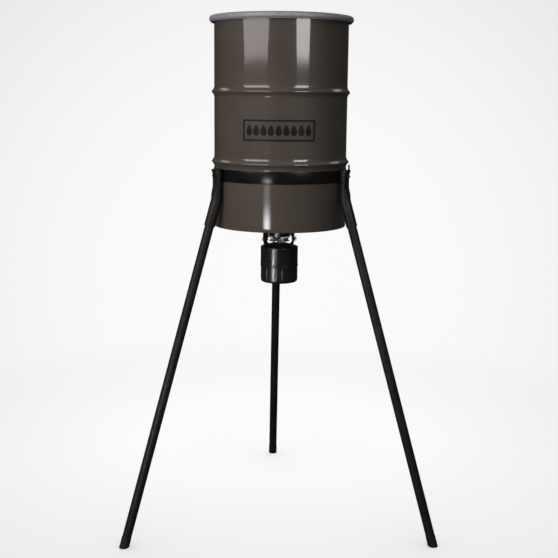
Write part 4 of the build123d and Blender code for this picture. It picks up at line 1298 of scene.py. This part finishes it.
    def panel(self, name, angle, distance, sides, glow, tint, bands, soft=False):
        """An upright panel that faces the drum's axis. Each band adds its share of the glow, easing
        in over its first two heights and out over its last two. A soft panel also fades sideways."""
        height = np.array([z for z, _ in sides])[:, None]
        across = np.array([w for _, w in sides])[:, None] * np.linspace(-1, 1, 9)
        grid = np.stack([across, 0 * across, height + 0 * across], -1)
        piece = surface(name, grid, around=False, along=False)
        spot = AXIS + distance * outward(angle)
        piece.matrix_world = Matrix.Translation(spot) @ Matrix.Rotation(math.radians(angle - 90), 4, "Z")
        material = bpy.data.materials.new(name)
        material.use_nodes = True
        tree = material.node_tree
        tree.nodes.clear()
        place, split = tree.nodes.new("ShaderNodeTexCoord"), tree.nodes.new("ShaderNodeSeparateXYZ")
        tree.links.new(place.outputs["Object"], split.inputs["Vector"])
        half = float(np.max(across))

        def maths(operation, a, b):
            """One arithmetic step on two sockets or numbers."""
            node = tree.nodes.new("ShaderNodeMath")
            node.operation = operation
            for socket, value in zip(node.inputs, (a, b)):
                if isinstance(value, float):
                    socket.default_value = value
                else:
                    tree.links.new(value, socket)
            return node.outputs["Value"]

        z = split.outputs["Z"]
        up = 0.0
        for share, in_start, in_end, out_start, out_end in bands:
            band = maths("MULTIPLY", eased(tree, z, in_start, in_end, 0.0, share),
                         eased(tree, z, out_start, out_end, 1.0, 0.0))
            up = maths("ADD", band, up)
        if soft:
            sideways = maths("ABSOLUTE", split.outputs["X"], 0.0)
            up = maths("MULTIPLY", up, eased(tree, sideways, half * 0.10, half, 1.0, 0.0))
        emission = tree.nodes.new("ShaderNodeEmission")
        emission.inputs["Color"].default_value = (*tint, 1)
        tree.links.new(maths("MULTIPLY", up, float(glow)), emission.inputs["Strength"])
        output = tree.nodes.new("ShaderNodeOutputMaterial")
        tree.links.new(emission.outputs["Emission"], output.inputs["Surface"])
        piece.data.materials.append(material)
        piece.visible_camera = False
        piece.visible_diffuse = False
        piece.visible_shadow = False
        return piece

    def spare(self, source, pieces):
        """Keeps a light off some pieces."""
        unlit = bpy.data.collections.new(f"{source.name}_unlit")
        for piece in pieces:
            unlit.objects.link(piece)
        source.light_linking.receiver_collection = unlit
        for entry in unlit.collection_objects:
            entry.light_linking.link_state = "EXCLUDE"

    def camera(self, scene, studio):
        """A camera that stands out from the drum's axis, turned, tilted and rolled in that order."""
        data = bpy.data.cameras.new("studio_camera")
        data.lens = studio.lens
        data.sensor_width = 36.0
        camera = bpy.data.objects.new("studio_camera", data)
        spot = AXIS + studio.distance * outward(math.degrees(studio.turn) - 90) + [0, 0, studio.height]
        camera.matrix_world = (Matrix.Translation(Vector(spot)) @ Matrix.Rotation(studio.turn, 4, "Z")
                               @ Matrix.Rotation(math.pi / 2 - studio.pitch, 4, "X")
                               @ Matrix.Rotation(studio.roll, 4, "Z"))
        scene.collection.objects.link(camera)
        scene.camera = camera


# ------------------------------------------------------------------ add-on

GROUPS = {"feeder_drum": FeederDrum, "feeder_stand": FeederStand, "feeder_unit": FeederUnit,
          "feeder_studio": FeederStudio}
OPERATORS = [FEEDER_OT_finishes, FEEDER_OT_drum_shell, FEEDER_OT_drum_head, FEEDER_OT_decal, FEEDER_OT_lid,
             FEEDER_OT_closing_ring, FEEDER_OT_brackets, FEEDER_OT_legs, FEEDER_OT_straps, FEEDER_OT_bolts,
             FEEDER_OT_funnel, FEEDER_OT_housing, FEEDER_OT_cap, FEEDER_OT_spinner, FEEDER_OT_hanger_nuts,
             FEEDER_OT_small_parts, FEEDER_OT_stage]


class FEEDER_PT_panel(bpy.types.Panel):
    """Lists the feeder's sizes, colours and pieces"""
    bl_idname = "FEEDER_PT_panel"
    bl_label = "Tripod Game Feeder"
    bl_space_type = "VIEW_3D"
    bl_region_type = "UI"
    bl_category = "Feeder"

    def draw(self, context):
        for name, group in GROUPS.items():
            section = self.layout.box()
            section.label(text=name.replace("_", " ").capitalize())
            for prop in group.__annotations__:
                section.prop(getattr(context.scene, name), prop)
        for operator in OPERATORS:
            self.layout.operator(operator.bl_idname)


def register():
    """Makes the sizes, the pieces and the panel known."""
    for group in GROUPS.values():
        bpy.utils.register_class(group)
    for operator in OPERATORS:
        bpy.utils.register_class(operator)
    bpy.utils.register_class(FEEDER_PT_panel)
    for name, group in GROUPS.items():
        setattr(bpy.types.Scene, name, PointerProperty(type=group))


def unregister():
    """Takes back what register did."""
    for name in GROUPS:
        delattr(bpy.types.Scene, name)
    bpy.utils.unregister_class(FEEDER_PT_panel)
    for operator in reversed(OPERATORS):
        bpy.utils.unregister_class(operator)
    for group in reversed(GROUPS.values()):
        bpy.utils.unregister_class(group)


def main():
    """Runs every operator in order."""
    register()
    for operator in OPERATORS:
        group, name = operator.bl_idname.split(".")
        getattr(getattr(bpy.ops, group), name)()
    bpy.context.view_layer.update()


if __name__ == "__main__":
    main()
